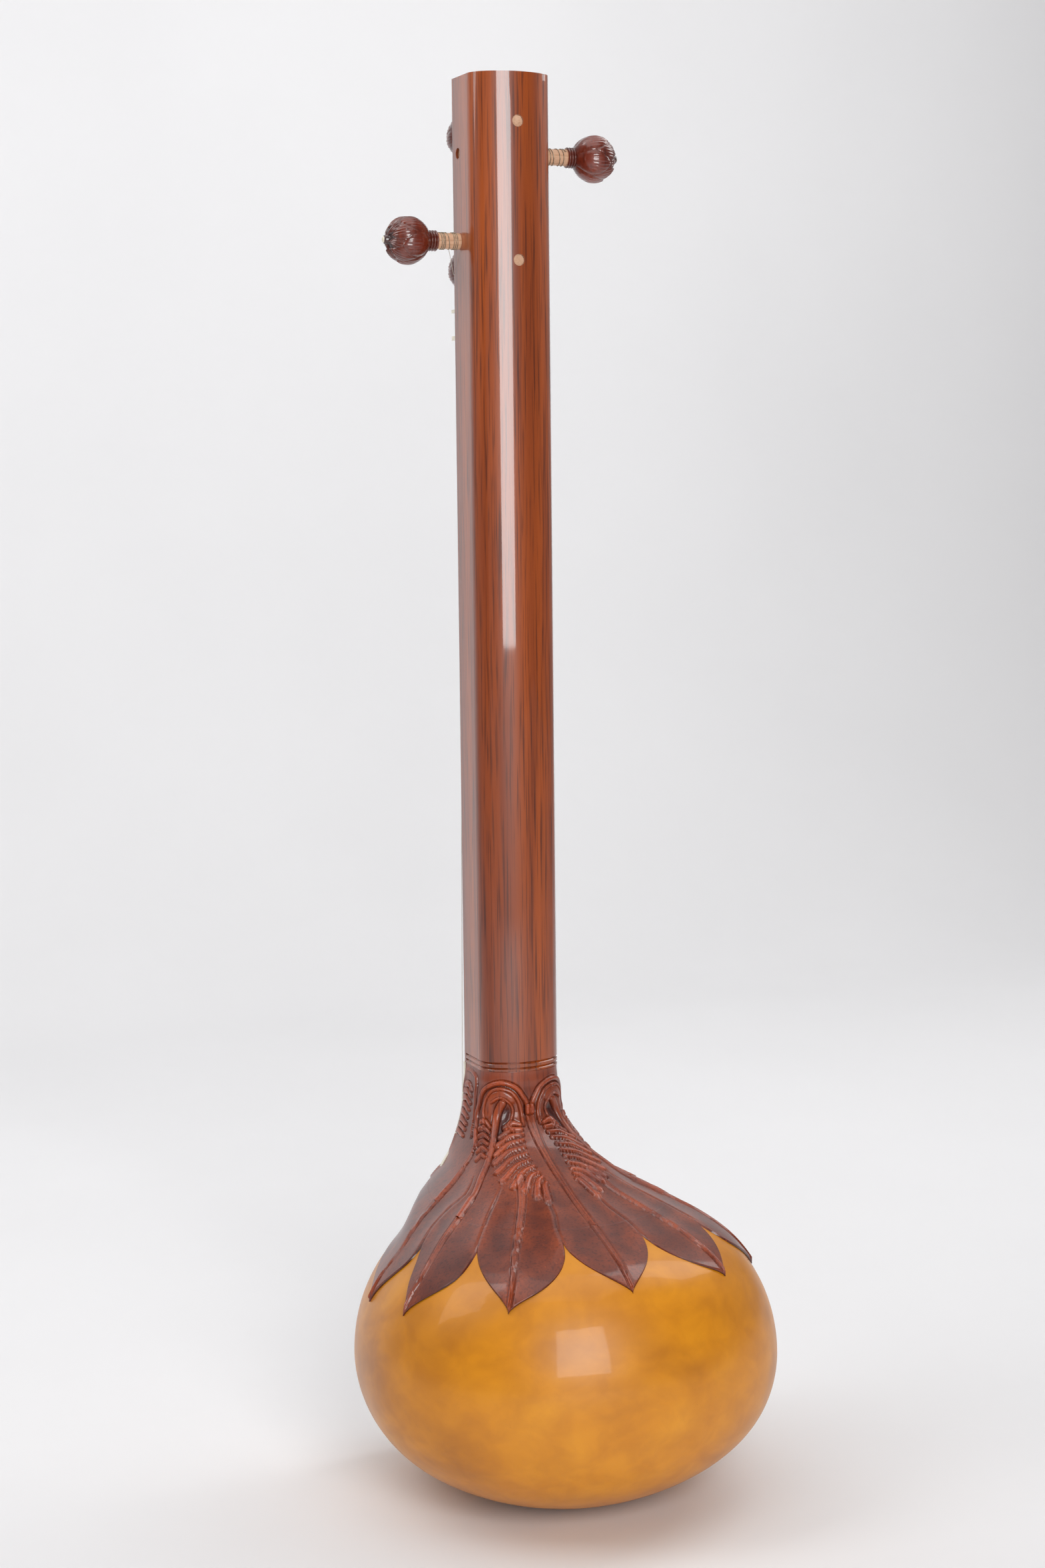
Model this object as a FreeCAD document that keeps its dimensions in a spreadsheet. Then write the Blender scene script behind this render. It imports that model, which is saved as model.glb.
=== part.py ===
"""A tanpura: a long hollow neck on a gourd, with four pegs, four strings and a carved leaf cap.

Millimetres. +Z runs up the neck, -Y is the soundboard side, +Y the gourd's back.
The origin is the middle of the small flat foot under the gourd, on the gourd's own axis.
"""
import FreeCAD, Part
import math
import os
import Sketcher
from FreeCAD import Placement, Rotation, Vector

doc = FreeCAD.newDocument("tanpura")

# ---------------------------------------------------------------- driving dimensions
DIMENSIONS = [
    # the whole instrument
    ("total_height", 1278), ("neck_length", 910), ("neck_offset", 127),
    # neck section: straight flanks, two corner arcs and a back arc
    ("neck_width", 77.4), ("neck_front", 34), ("flank_end", 6), ("corner_radius", 20),
    ("back_radius", 53), ("neck_wall", 8), ("edge_round", 3), ("plate_thickness", 6),
    ("cap_thickness", 6), ("end_block_length", 18),
    ("groove_depth", 1.3), ("groove_gap", 5), ("groove_rise", 3),
    ("dowel_radius", 2), ("dowel_length", 30), ("dowel_inset", 3.1), ("dowel_fit", 0.05),
    # gourd outline, as tangent arcs from the neck down to the foot
    ("gourd_radius", 191.5), ("widest_level", 125), ("flare_start", 339), ("flare_radius", 81.4),
    ("shoulder_radius", 141.2), ("shoulder_turn", 61.2), ("side_radius", 100), ("side_turn", 51.8),
    ("bottom_radius", 216.8), ("shell_wall", 6), ("blend_top", 332), ("blend_bottom", 222),
    # leaf cap
    ("seam_level", 260), ("leaf_thickness", 3), ("leaf_pitch", 39), ("leaf_gap", 1.2),
    ("leaf_clearance", 0.8),
    # soundboard
    ("board_thickness", 3.5), ("dome_radius", 85), ("dome_rise", 5), ("binding_width", 3),
    ("lining_width", 9), ("lining_depth", 10), ("lining_end_gap", 6),
    # bridge, nut and strings
    ("bridge_level", 150), ("bridge_width", 84), ("bridge_length", 30), ("bridge_height", 27),
    ("bridge_plate", 7), ("crown_radius", 90), ("arch_radius", 17), ("foot_inset", 2),
    ("string_radius", 0.25), ("winding_gap", 0.3), ("bridge_spacing", 20), ("nut_spacing", 19),
    ("nut_drop", 232), ("guide_drop", 207.5), ("nut_rise", 11), ("nut_thickness", 4),
    ("guide_thickness", 3), ("guide_rise", 8), ("guide_hole", 0.8), ("plate_inset", 2),
    ("thread_radius", 0.3), ("thread_length", 6), ("edge_drop", 30),
    # tailpiece and tuning beads
    ("tail_width", 64), ("tail_low", 37), ("tail_high", 61), ("tail_rise", 5),
    ("tail_spacing", 16), ("tail_depth", 3), ("tail_hole", 0.6), ("pin_radius", 1.5),
    ("pin_depth", 18), ("block_depth", 26), ("bead_radius", 6), ("bead_level", 92),
    ("bead_hole", 0.6),
    # pegs
    ("peg_radius", 7.3), ("peg_taper", 0.031), ("peg_clearance", 0.06), ("collar_radius", 9.6),
    ("collar_length", 8), ("collar_waist", 8.1), ("head_radius", 22.3), ("bead_seat", 3), ("bead_height", 1.2),
    ("tip_recess", 2.5), ("wire_wrap", 0.6), ("wire_margin", 3),
    ("front_high_drop", 43.3), ("front_low_drop", 165.8), ("side_high_drop", 67.7),
    ("side_low_drop", 146.1), ("side_peg_depth", 15.5), ("front_exposed", 26),
    ("side_high_exposed", 29), ("side_low_exposed", 22),
]
sheet = doc.addObject("Spreadsheet::Sheet", "dims")
for row, (alias, number) in enumerate(DIMENSIONS, 1):
    sheet.set(f"A{row}", alias)
    sheet.set(f"B{row}", str(number))
    sheet.setAlias(f"B{row}", alias)
doc.recompute()


class Size:
    """A length with its value now and the expression that binds it to the sheet."""

    def __init__(self, value, text):
        self.value = float(value)
        self.text = text

    def _with(self, other, sign, value):
        other_text = other.text if isinstance(other, Size) else repr(float(other))
        return Size(value, f"({self.text} {sign} {other_text})")

    def __add__(self, other):
        return self._with(other, "+", self.value + float(other))

    def __sub__(self, other):
        return self._with(other, "-", self.value - float(other))

    def __mul__(self, other):
        return self._with(other, "*", self.value * float(other))

    def __truediv__(self, other):
        return self._with(other, "/", self.value / float(other))

    def root(self):
        return Size(math.sqrt(self.value), f"sqrt({self.text})")

    def __neg__(self):
        return Size(-self.value, f"(0 - {self.text})")

    def __float__(self):
        return self.value


def dim(alias):
    return Size(sheet.get(alias), f"dims.{alias}")


def number(alias):
    return float(sheet.get(alias))


# Levels and planes that several pieces share, bound to the sheet and as plain numbers.
FRONT = -(dim("neck_offset") + dim("neck_front"))
TOP = dim("total_height")
HEEL_TOP = dim("total_height") - dim("neck_length")
RIM = FRONT + dim("board_thickness")
AXIS_Y = -dim("neck_offset")
HALF = dim("neck_width") / 2
rim = float(RIM)
front = float(FRONT)
heel_top = float(HEEL_TOP)
seam = number("seam_level")
leaf_lift = number("leaf_thickness")
BEYOND = 400  # past the object on every side, for the tools that cut it
SEAM_RUN_ON = 12  # how far the gourd's skin is drawn past the seam before it is cut there
OVERLAP = 1  # how far a cutting tool runs past the face it cuts through

finished = []


def finish(piece, label):
    """Give a sub-part the label that names its file."""
    piece.Label = label
    finished.append(piece)
    return piece


# ---------------------------------------------------------------- sketch helpers
def plane_of(body, role):
    return next(plane for plane in body.Origin.OriginFeatures if plane.Role == role)


def new_body(name):
    return doc.addObject("PartDesign::Body", name)


def new_sketch(body, role, name):
    sketch = body.newObject("Sketcher::SketchObject", name)
    sketch.AttachmentSupport = (plane_of(body, role), "")
    sketch.MapMode = "FlatFace"
    return sketch


def fix_point(sketch, geometry, end, across, up):
    """Hold one end of a piece of geometry at a place worked out from the sheet."""
    for kind, size in (("DistanceX", across), ("DistanceY", up)):
        index = sketch.addConstraint(
            Sketcher.Constraint(kind, -1, 1, geometry, end, float(size))
        )
        if isinstance(size, Size):
            sketch.setExpression(f"Constraints[{index}]", size.text)


def fix_radius(sketch, geometry, size):
    index = sketch.addConstraint(Sketcher.Constraint("Radius", geometry, float(size)))
    if isinstance(size, Size):
        sketch.setExpression(f"Constraints[{index}]", size.text)


def outline(sketch, corners, arcs=None):
    """Closed outline through corners; arcs maps an edge's number to (radius, bulge side).

    The side is +1 for an arc whose middle lies to the left of the way it is drawn.
    """
    arcs = arcs or {}
    spots = [Vector(float(across), float(up), 0) for across, up in corners]
    count = len(spots)
    for index, start in enumerate(spots):
        end = spots[(index + 1) % count]
        if index in arcs:
            radius, side = arcs[index]
            chord = end - start
            half = chord.Length / 2
            rise = float(radius) - math.sqrt(max(float(radius) ** 2 - half**2, 0))
            sideways = Vector(-chord.y, chord.x, 0).normalize() * (rise * side)
            middle = (start + end) * 0.5 + sideways
            sketch.addGeometry(Part.Arc(start, middle, end), False)
        else:
            sketch.addGeometry(Part.LineSegment(start, end), False)
    for index, (across, up) in enumerate(corners):
        near = start_of(sketch, index, spots[index])
        fix_point(sketch, index, near, across, up)
        before = (index - 1) % count
        far = start_of(sketch, before, spots[index])
        sketch.addConstraint(Sketcher.Constraint("Coincident", before, far, index, near))
    for index, (radius, side) in arcs.items():
        fix_radius(sketch, index, radius)


def start_of(sketch, geometry, spot):
    """Which end of the geometry, 1 or 2, lies at the spot: an arc may be stored reversed."""
    first = sketch.getPoint(geometry, 1)
    second = sketch.getPoint(geometry, 2)
    return 1 if (first - spot).Length <= (second - spot).Length else 2


def pad(body, sketch, length, name, reverse=False, midplane=False):
    feature = body.newObject("PartDesign::Pad", name)
    feature.Profile = sketch
    feature.Length = float(length)
    if isinstance(length, Size):
        feature.setExpression("Length", length.text)
    feature.Reversed = reverse
    if midplane:
        feature.Midplane = True
    return feature


def place(piece, spot, rotation=Rotation()):
    """Place a piece at a spot whose coordinates stay bound to the sheet."""
    piece.Placement = Placement(Vector(*(float(part) for part in spot)), rotation)
    for axis, part in zip("xyz", spot):
        if isinstance(part, Size):
            piece.setExpression(f"Placement.Base.{axis}", part.text)


def primitive(kind, name, spot=(0, 0, 0), rotation=Rotation(), **sizes):
    piece = doc.addObject(f"Part::{kind}", name)
    for key, size in sizes.items():
        setattr(piece, key, float(size))
        if isinstance(size, Size):
            piece.setExpression(key, size.text)
    place(piece, spot, rotation)
    return piece


def box(name, low, high):
    """A box between two corners, each coordinate a number or a Size."""
    length, width, height = (top - bottom for bottom, top in zip(low, high))
    return primitive("Box", name, low, Length=length, Width=width, Height=height)


def combine(kind, name, base, *tools):
    """A boolean of the document: a Cut by each tool in turn, or one MultiFuse."""
    if kind == "MultiFuse":
        piece = doc.addObject(f"Part::{kind}", name)
        piece.Shapes = [base, *tools]
        return piece
    for step, tool in enumerate(tools):
        piece = doc.addObject(f"Part::{kind}", f"{name}_{step}")
        piece.Base = base
        piece.Tool = tool
        base = piece
    return piece


def feature(name, shape):
    piece = doc.addObject("Part::Feature", name)
    piece.Shape = shape
    return piece


# ---------------------------------------------------------------- the gourd's skin
# One smooth skin runs from the foot over the gourd and up to the neck. Each level is a closed
# oval: a half-width from the outline, a depth behind and a depth in front of its own middle.
def outline_half_width(level, lift):
    """Half-width of the skin at a level, lifted off the surface by a thickness."""
    waist = number("neck_width") / 2
    widest = number("gourd_radius")
    turn = math.radians(number("shoulder_turn"))
    side_turn = math.radians(number("side_turn"))
    middle = number("widest_level")
    flare = number("flare_radius")
    shoulder = number("shoulder_radius")
    side = number("side_radius")
    bottom = number("bottom_radius")
    flare_start = number("flare_start")
    flare_end = flare_start - (flare - lift) * math.sin(turn)
    shoulder_start = middle + (shoulder + lift) * math.sin(turn)
    side_end = middle - (side + lift) * math.sin(side_turn)
    if level >= flare_start:
        return waist + lift
    if level >= flare_end:
        return waist + flare - math.sqrt((flare - lift) ** 2 - (flare_start - level) ** 2)
    if level > shoulder_start:
        upper = waist + flare - (flare - lift) * math.cos(turn)
        lower = widest - shoulder + (shoulder + lift) * math.cos(turn)
        share = (flare_end - level) / (flare_end - shoulder_start)
        return upper + (lower - upper) * share
    if level >= middle:
        return widest - shoulder + math.sqrt((shoulder + lift) ** 2 - (level - middle) ** 2)
    if level >= side_end:
        return widest - side + math.sqrt((side + lift) ** 2 - (middle - level) ** 2)
    centre_width = widest - side + (side - bottom) * math.cos(side_turn)
    centre_level = middle + (bottom - side) * math.sin(side_turn)
    return centre_width + math.sqrt(max((bottom + lift) ** 2 - (centre_level - level) ** 2, 0))


def lowest_level(lift):
    """Where the lifted outline has turned level, at the rim of the foot."""
    bottom = number("bottom_radius")
    side_turn = math.radians(number("side_turn"))
    centre = number("widest_level") + (bottom - number("side_radius")) * math.sin(side_turn)
    return centre - bottom - lift


def gourdness(level):
    """0 on the neck, 1 on the gourd, and smooth between them."""
    share = (number("blend_top") - level) / (number("blend_top") - number("blend_bottom"))
    share = min(max(share, 0), 1)
    return share * share * (3 - 2 * share)


# An oval's depth behind and before its middle, as shares of its half-width, and its power:
# 2 is an ellipse, and more is squarer.
NECK_OVAL = (0.83, 3.0, 2.43)
GOURD_OVAL = (0.88, 1.24, 2.0)


def skin_point(level, turn, lift=0.0):
    """A point of the skin; the turn is in degrees from the back (+Y) towards +X."""
    blend = gourdness(level)
    behind, before, power = (
        neck + (gourd - neck) * blend for neck, gourd in zip(NECK_OVAL, GOURD_OVAL)
    )
    half_width = outline_half_width(level, lift)
    middle = -number("neck_offset") * (1 - blend)
    across, along = math.sin(math.radians(turn)), math.cos(math.radians(turn))
    depth = behind if along > 0 else before
    x = half_width * math.copysign(abs(across) ** (2 / power), across)
    y = middle + half_width * depth * math.copysign(abs(along) ** (2 / power), along)
    return Vector(x, y, level)


def oval(level, lift, count=48):
    points = [skin_point(level, 180 + 360 * step / count, lift) for step in range(count)]
    curve = Part.BSplineCurve()
    curve.interpolate(Points=points, PeriodicFlag=True)
    return Part.Wire([curve.toShape()])


def skin_solid(levels, lift):
    lift_at = lift if callable(lift) else lambda level: lift
    wires = [oval(level, lift_at(level)) for level in levels]
    solid = Part.makeLoft(wires, True, False)
    return solid if solid.Volume > 0 else solid.reversed()


def spread(low, high, count):
    return [low + (high - low) * step / count for step in range(count + 1)]


def gourd_levels(lift, top):
    """Levels that stay close together where the outline turns quickly near the foot."""
    foot = lowest_level(lift)
    middle = number("widest_level")
    rounded = [foot + (middle - foot) * (1 - math.cos(math.radians(a))) for a in range(12, 90, 13)]
    return [foot + 0.02, *rounded, *spread(middle, top, 18)]


def slab(low_y, high_y, low_z, high_z, reach=BEYOND):
    return Part.makeBox(2 * reach, high_y - low_y, high_z - low_z, Vector(-reach, low_y, low_z))


def heel_lift(level):
    """The heel stands as proud as the leaves at the seam and fades into the neck."""
    share = (heel_top - level) / (heel_top - number("flare_start"))
    share = min(max(share, 0), 1)
    return leaf_lift * share * share * (3 - 2 * share)


# The gourd's outside is made past the seam and cut there, so that it stays true to its end.
gourd_outer = skin_solid(gourd_levels(0.0, seam + SEAM_RUN_ON), 0.0)
heel_outer = skin_solid(spread(seam, heel_top, 9), heel_lift)
cavity_low = skin_solid(gourd_levels(-number("shell_wall"), seam), -number("shell_wall"))
cavity_high = skin_solid(spread(seam - OVERLAP, heel_top + OVERLAP, 10), -number("shell_wall"))


def build_gourd_shell():
    bowl = gourd_outer.common(slab(rim, BEYOND, -BEYOND, seam))
    return finish(feature("gourd_shell_shape", bowl.cut(cavity_low)), "gourd_shell")


def build_heel_joint():
    collar = heel_outer.common(slab(rim, BEYOND, seam, heel_top))
    shape = feature("heel_joint_shape", collar.cut(cavity_high))
    holes = dowels("heel_dowel_holes", dim("dowel_fit"))
    return finish(combine("Cut", "heel_joint_drilled", shape, holes), "heel_joint")


# ---------------------------------------------------------------- carved leaves
# Each leaf: the turn of its midrib in degrees, the level of its tip, the level of its shoulders.
LEAVES = {
    "leaf_4": (0, 223, 250), "leaf_3": (39, 211, 248), "leaf_5": (-39, 217, 248),
    "leaf_2": (78, 194, 240), "leaf_6": (-78, 198, 240), "leaf_1": (117, 182, 230),
    "leaf_7": (-117, 186, 230),
}
# Where a leaf's sections lie, as shares of the way from its tip to the seam.
LEAF_STEPS = (0, 0.05, 0.12, 0.2, 0.29, 0.38, 0.48, 0.58, 0.7, 0.82, 0.92, 1)


def leaf_share(level, tip, shoulder):
    """Half-width of a leaf at a level, as a share of half the pitch."""
    if level >= shoulder:
        return 1.0
    share = (level - tip) / (shoulder - tip)
    return 0.02 + 0.98 * math.sin(math.radians(90 * share)) ** 1.15


def leaf_shape(turn, tip, shoulder):
    half_pitch = number("leaf_pitch") / 2 - number("leaf_clearance")
    gap = number("leaf_gap")
    top = seam - gap
    levels = sorted([tip + (top - tip) * share for share in LEAF_STEPS] + [shoulder])
    wires = []
    for level in levels:
        half = half_pitch * leaf_share(level, tip, shoulder)
        turns = [turn - half + half * step / 4 for step in range(9)]
        under = [skin_point(level, angle, gap) for angle in turns]
        over = [skin_point(level, angle, leaf_lift) for angle in reversed(turns)]
        inner, outer = Part.BSplineCurve(), Part.BSplineCurve()
        inner.interpolate(Points=under)
        outer.interpolate(Points=over)
        wires.append(Part.Wire([
            inner.toShape(),
            Part.LineSegment(under[-1], over[0]).toShape(),
            outer.toShape(),
            Part.LineSegment(over[-1], under[0]).toShape(),
        ]))
    solid = Part.makeLoft(wires, True, False)
    return solid if solid.Volume > 0 else solid.reversed()


def build_leaves():
    for label, (turn, tip, shoulder) in sorted(LEAVES.items()):
        finish(feature(f"{label}_shape", leaf_shape(turn, tip, shoulder)), label)


# ---------------------------------------------------------------- soundboard
def front_half_width(level):
    """Half-width of the skin where the flat front cuts it; below zero where it misses."""
    blend = gourdness(level)
    behind, before, power = (
        neck + (gourd - neck) * blend for neck, gourd in zip(NECK_OVAL, GOURD_OVAL)
    )
    half_width = outline_half_width(level, heel_lift(level) if level > seam else 0.0)
    reach = (-number("neck_offset") * (1 - blend) - front) / (half_width * before)
    if reach >= 1:
        return 1 - reach
    return half_width * (1 - reach**power) ** (1 / power)


def board_bottom():
    """The lowest level that the flat front reaches on the gourd, found by halving."""
    low, high = lowest_level(0.0) + 5, number("widest_level")
    for _ in range(50):
        level = (low + high) / 2
        if front_half_width(level) > 0:
            high = level
        else:
            low = level
    return high


BOARD_SHOULDER = 200  # the level where the board's round edge starts to run up to the neck


def board_outline(pull=0.0):
    """The board's edge pulled in by a distance: one curve round the gourd, and a straight top."""
    bottom = board_bottom()
    height = BOARD_SHOULDER - bottom
    turned = [bottom + height * (1 - math.cos(math.radians(a))) for a in range(6, 90, 6)]
    levels = [*turned, *spread(BOARD_SHOULDER, heel_top, 12)]
    right = [Vector(front_half_width(level), front, level) for level in reversed(levels)]
    left = [Vector(-point.x, front, point.z) for point in reversed(right)]
    edge = [*right, Vector(0, front, bottom), *left]
    moved = []
    for index, point in enumerate(edge):
        before, after = edge[max(index - 1, 0)], edge[min(index + 1, len(edge) - 1)]
        along = (after - before).normalize()
        moved.append(point + Vector(along.z, 0, -along.x) * pull)
    top = heel_top - (pull if pull > number("shell_wall") else 0)
    moved = [point for point in moved if point.z < top - 2]
    moved = [Vector(moved[0].x, front, top), *moved, Vector(moved[-1].x, front, top)]
    curve = Part.BSplineCurve()
    curve.interpolate(Points=moved)
    return Part.Wire([curve.toShape(), Part.LineSegment(moved[-1], moved[0]).toShape()])


def plate(pull, start, thickness):
    """A flat piece with the board's outline, from a depth behind the front plane."""
    face = Part.Face(board_outline(pull))
    face.translate(Vector(0, start, 0))
    return face.extrude(Vector(0, thickness, 0))


def domed_disc():
    """A large disc of the board's thickness whose middle is raised in a shallow cap."""
    reach, rise = number("dome_radius"), number("dome_rise")
    ball = (reach**2 + rise**2) / (2 * rise)
    level = number("bridge_level")

    def cap(depth):
        centre = front + depth - rise + ball
        half = math.sqrt(ball**2 - (reach / 2) ** 2)
        return [Vector(0, centre - ball, level), Vector(reach / 2, centre - half, level),
                Vector(reach, front + depth, level)]

    outer, inner = cap(0), cap(number("board_thickness"))
    wide = [Vector(BEYOND, front, level), Vector(BEYOND, rim, level)]
    profile = Part.Wire([
        Part.Arc(*outer).toShape(),
        Part.LineSegment(outer[-1], wide[0]).toShape(),
        Part.LineSegment(wide[0], wide[1]).toShape(),
        Part.LineSegment(wide[1], inner[-1]).toShape(),
        Part.Arc(inner[2], inner[1], inner[0]).toShape(),
        Part.LineSegment(inner[0], outer[0]).toShape(),
    ])
    return Part.Face(profile).revolve(Vector(0, 0, level), Vector(0, 1, 0), 360)


def build_soundboard():
    thickness = number("board_thickness")
    binding = number("binding_width")
    board = domed_disc().common(plate(binding, -number("dome_rise") - OVERLAP, BEYOND))
    finish(feature("soundboard_shape", board), "soundboard")
    strip = plate(0, 0, thickness).cut(plate(binding, 0, thickness))
    finish(feature("soundboard_binding_shape", strip), "soundboard_binding")
    wall = number("shell_wall") + OVERLAP
    depth = number("lining_depth")
    ring = plate(wall, thickness, depth).cut(plate(wall + number("lining_width"), thickness, depth))
    upper_end = seam - number("lining_end_gap")
    lining = ring.common(slab(front, 0, -BEYOND, upper_end)).common(cavity_low)
    finish(feature("soundboard_lining_shape", lining), "soundboard_lining")


# ---------------------------------------------------------------- neck
EDGE_ROUND = dim("edge_round")
PLATE_BACK = FRONT + dim("plate_thickness")
FLANK_END = AXIS_Y + dim("flank_end")
CORNER_ACROSS = HALF - dim("corner_radius")
ARC_GAP = dim("back_radius") - dim("corner_radius")
CORNER_UP = (ARC_GAP * ARC_GAP - CORNER_ACROSS * CORNER_ACROSS).root()
NECK_BACK = FLANK_END - CORNER_UP + dim("back_radius")
NECK_TOP = TOP - dim("cap_thickness")


def tangent_point(pull):
    """Where the corner arc meets the back arc, for the section pulled in by a distance."""
    radius = dim("corner_radius") - pull
    across = CORNER_ACROSS + radius * CORNER_ACROSS / ARC_GAP
    up = FLANK_END + radius * CORNER_UP / ARC_GAP
    return across, up


def round_back(pull, start_y):
    """Corners and arcs from the left flank over the back to the right flank, clockwise."""
    across, up = tangent_point(pull)
    side = HALF - pull
    corners = [(-side, start_y), (-side, FLANK_END), (-across, up), (across, up),
               (side, FLANK_END), (side, start_y)]
    corner = (dim("corner_radius") - pull, 1)
    back = (dim("back_radius") - pull, 1)
    return corners, {1: corner, 2: back, 3: corner}


def build_neck_body():
    body = new_body("neck_body")
    sketch = new_sketch(body, "XY_Plane", "neck_section")
    outer, arcs = round_back(0, PLATE_BACK)
    inner, inner_arcs = round_back(dim("neck_wall"), PLATE_BACK)
    inner.reverse()
    first = len(outer)
    turned = {first + 4 - edge: (radius, -side) for edge, (radius, side) in inner_arcs.items()}
    outline(sketch, outer + inner, {**arcs, **turned})
    pad(body, sketch, NECK_TOP - HEEL_TOP, "neck_pad")
    place(body, (0, 0, HEEL_TOP))
    return body


def neck_wire(level, pull):
    """The neck's outer section at a level as a wire, pulled in or out."""
    corners, arcs = round_back(Size(pull, "0"), FRONT - 5)
    spots = [Vector(float(x), float(y), level) for x, y in corners]
    edges = []
    for index, start in enumerate(spots):
        end = spots[(index + 1) % len(spots)]
        if index in arcs:
            radius = float(arcs[index][0])
            chord = end - start
            rise = radius - math.sqrt(radius**2 - chord.Length**2 / 4)
            sideways = Vector(-chord.y, chord.x, 0).normalize() * rise
            edges.append(Part.Arc(start, (start + end) * 0.5 + sideways, end).toShape())
        else:
            edges.append(Part.LineSegment(start, end).toShape())
    return Part.Wire(edges)


def groove_tool(level):
    """A ring of V section that cuts one turned-looking line round the neck's sides and back."""
    depth = number("groove_depth")
    low, high = level - depth, level + depth
    block = slab(float(PLATE_BACK) + 0.01, 0, low, high, 60)
    waist = Part.makeLoft([neck_wire(low, 0), neck_wire(level, depth)], True, True)
    upper = Part.makeLoft([neck_wire(level, depth), neck_wire(high, 0)], True, True)
    return block.cut(waist).cut(upper)


# ---------------------------------------------------------------- pegs
# name: (outward direction, side of the neck, level, exposed shaft, depth of wood it crosses)
SIDE_Y = FRONT + dim("side_peg_depth")
FRONT_DEPTH = NECK_BACK - FRONT
PEGS = {
    "peg_1": (Vector(0, -1, 0), (0, FRONT, TOP - dim("front_high_drop")),
              dim("front_exposed"), FRONT_DEPTH),
    "peg_2": (Vector(0, -1, 0), (0, FRONT, TOP - dim("front_low_drop")),
              dim("front_exposed"), FRONT_DEPTH),
    "peg_3": (Vector(-1, 0, 0), (-HALF, SIDE_Y, TOP - dim("side_high_drop")),
              dim("side_high_exposed"), dim("neck_width")),
    "peg_4": (Vector(1, 0, 0), (HALF, SIDE_Y, TOP - dim("side_low_drop")),
              dim("side_low_exposed"), dim("neck_width")),
}


RING_ROUND = 0.62  # a collar ring's radius as a share of its length


def outward(direction):
    return Rotation(Vector(0, 0, 1), direction)


def peg_hole(label):
    """The tapered hole that a peg turns in, a little larger than the peg all the way."""
    direction, spot, exposed, depth = PEGS[label]
    far = dim("peg_radius") + dim("peg_clearance") - dim("peg_taper") * (depth + OVERLAP)
    near = dim("peg_radius") + dim("peg_clearance") + dim("peg_taper") * OVERLAP
    start = along(spot, -direction, depth + OVERLAP)
    return primitive("Cone", f"{label}_hole", start, outward(direction),
                     Radius1=far, Radius2=near, Height=depth + 2 * OVERLAP)


def build_peg(label):
    direction, spot, exposed, depth = PEGS[label]
    body = new_body(f"{label}_body")
    sketch = new_sketch(body, "XZ_Plane", f"{label}_outline")
    inner_end = -(depth - dim("tip_recess"))
    tip = dim("peg_radius") + dim("peg_taper") * inner_end
    ring = dim("collar_length") / 3
    waist = dim("collar_waist")
    head = dim("head_radius")
    head_start = exposed + dim("collar_length")
    middle = head_start + (head * head - waist * waist).root()
    bead_seat = dim("bead_seat")
    head_end = middle + (head * head - bead_seat * bead_seat).root()
    corners = [
        (0, inner_end), (tip, inner_end), (dim("peg_radius"), 0), (dim("peg_radius"), exposed),
        (waist, exposed), (waist, exposed + ring), (waist, exposed + ring * 2),
        (waist, head_start), (bead_seat, head_end), (0, head_end),
    ]
    bulge = (ring * RING_ROUND, -1)
    arcs = {4: bulge, 5: bulge, 6: bulge, 7: (head, -1)}
    outline(sketch, corners, arcs)
    turned = body.newObject("PartDesign::Revolution", f"{label}_turned")
    turned.Profile = sketch
    turned.ReferenceAxis = (sketch, ["V_Axis"])
    turned.Angle = 360
    place(body, spot, outward(direction))
    finish(body, label)
    low_bead = dim("bead_height")
    ball = (bead_seat * bead_seat + low_bead * low_bead) / (low_bead * 2)
    sunk = ball - low_bead
    base_angle = Size(math.degrees(math.asin(float(sunk / ball))), f"asin({(sunk / ball).text})")
    bead = primitive("Sphere", f"{label}_bead_shape", along(spot, direction, head_end - sunk),
                     outward(direction), Radius=ball, Angle1=base_angle)
    finish(bead, label.replace("peg", "peg_bead"))
    build_winding(label)


def along(spot, direction, distance):
    """A spot moved along one of the three axes by a distance, still bound to the sheet."""
    return [distance * axis + part if axis else part for part, axis in zip(spot, direction)]


def build_winding(label):
    """The turns of string on the peg's bare shaft, as one plain sleeve."""
    direction, spot, exposed, depth = PEGS[label]
    margin = dim("wire_margin")
    start = along(spot, direction, margin)
    outer = primitive("Cylinder", f"{label}_wound", start, outward(direction),
                      Radius=dim("peg_radius") + dim("wire_wrap"), Height=exposed - margin * 2)
    inner = primitive("Cylinder", f"{label}_bare", start, outward(direction),
                      Radius=dim("peg_radius"), Height=exposed - margin * 2)
    finish(combine("Cut", f"{label}_winding", outer, inner), label.replace("peg", "winding"))


def dowel_spots():
    """Two dowels in each flank of the neck: how far across and how far forward each one is."""
    across = HALF - dim("dowel_inset")
    return [(across * side, AXIS_Y - drop) for side in (-1, 1) for drop in (2, 22)]


def dowels(name, grow=Size(0, "0")):
    """Four dowels across the joint between neck and heel; grown a little, they are the holes."""
    length = dim("dowel_length") + grow * 2
    pins = [
        primitive("Cylinder", f"{name}_{index}", (across, up, HEEL_TOP - length / 2),
                  Radius=dim("dowel_radius") + grow, Height=length)
        for index, (across, up) in enumerate(dowel_spots())
    ]
    return combine("MultiFuse", name, *pins)


def build_neck():
    holes = {label: peg_hole(label) for label in PEGS}
    body = build_neck_body()
    lower_groove = heel_top + number("groove_rise")
    grooves = [feature("neck_groove_low", groove_tool(lower_groove)),
               feature("neck_groove_high", groove_tool(lower_groove + number("groove_gap")))]
    joint = dowels("neck_dowel_holes", dim("dowel_fit"))
    trough = combine("Cut", "neck_trough_cut", body, *holes.values(), *grooves, joint)
    finish(trough, "neck_trough")
    finish(dowels("neck_dowel_set"), "neck_dowels")


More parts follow.
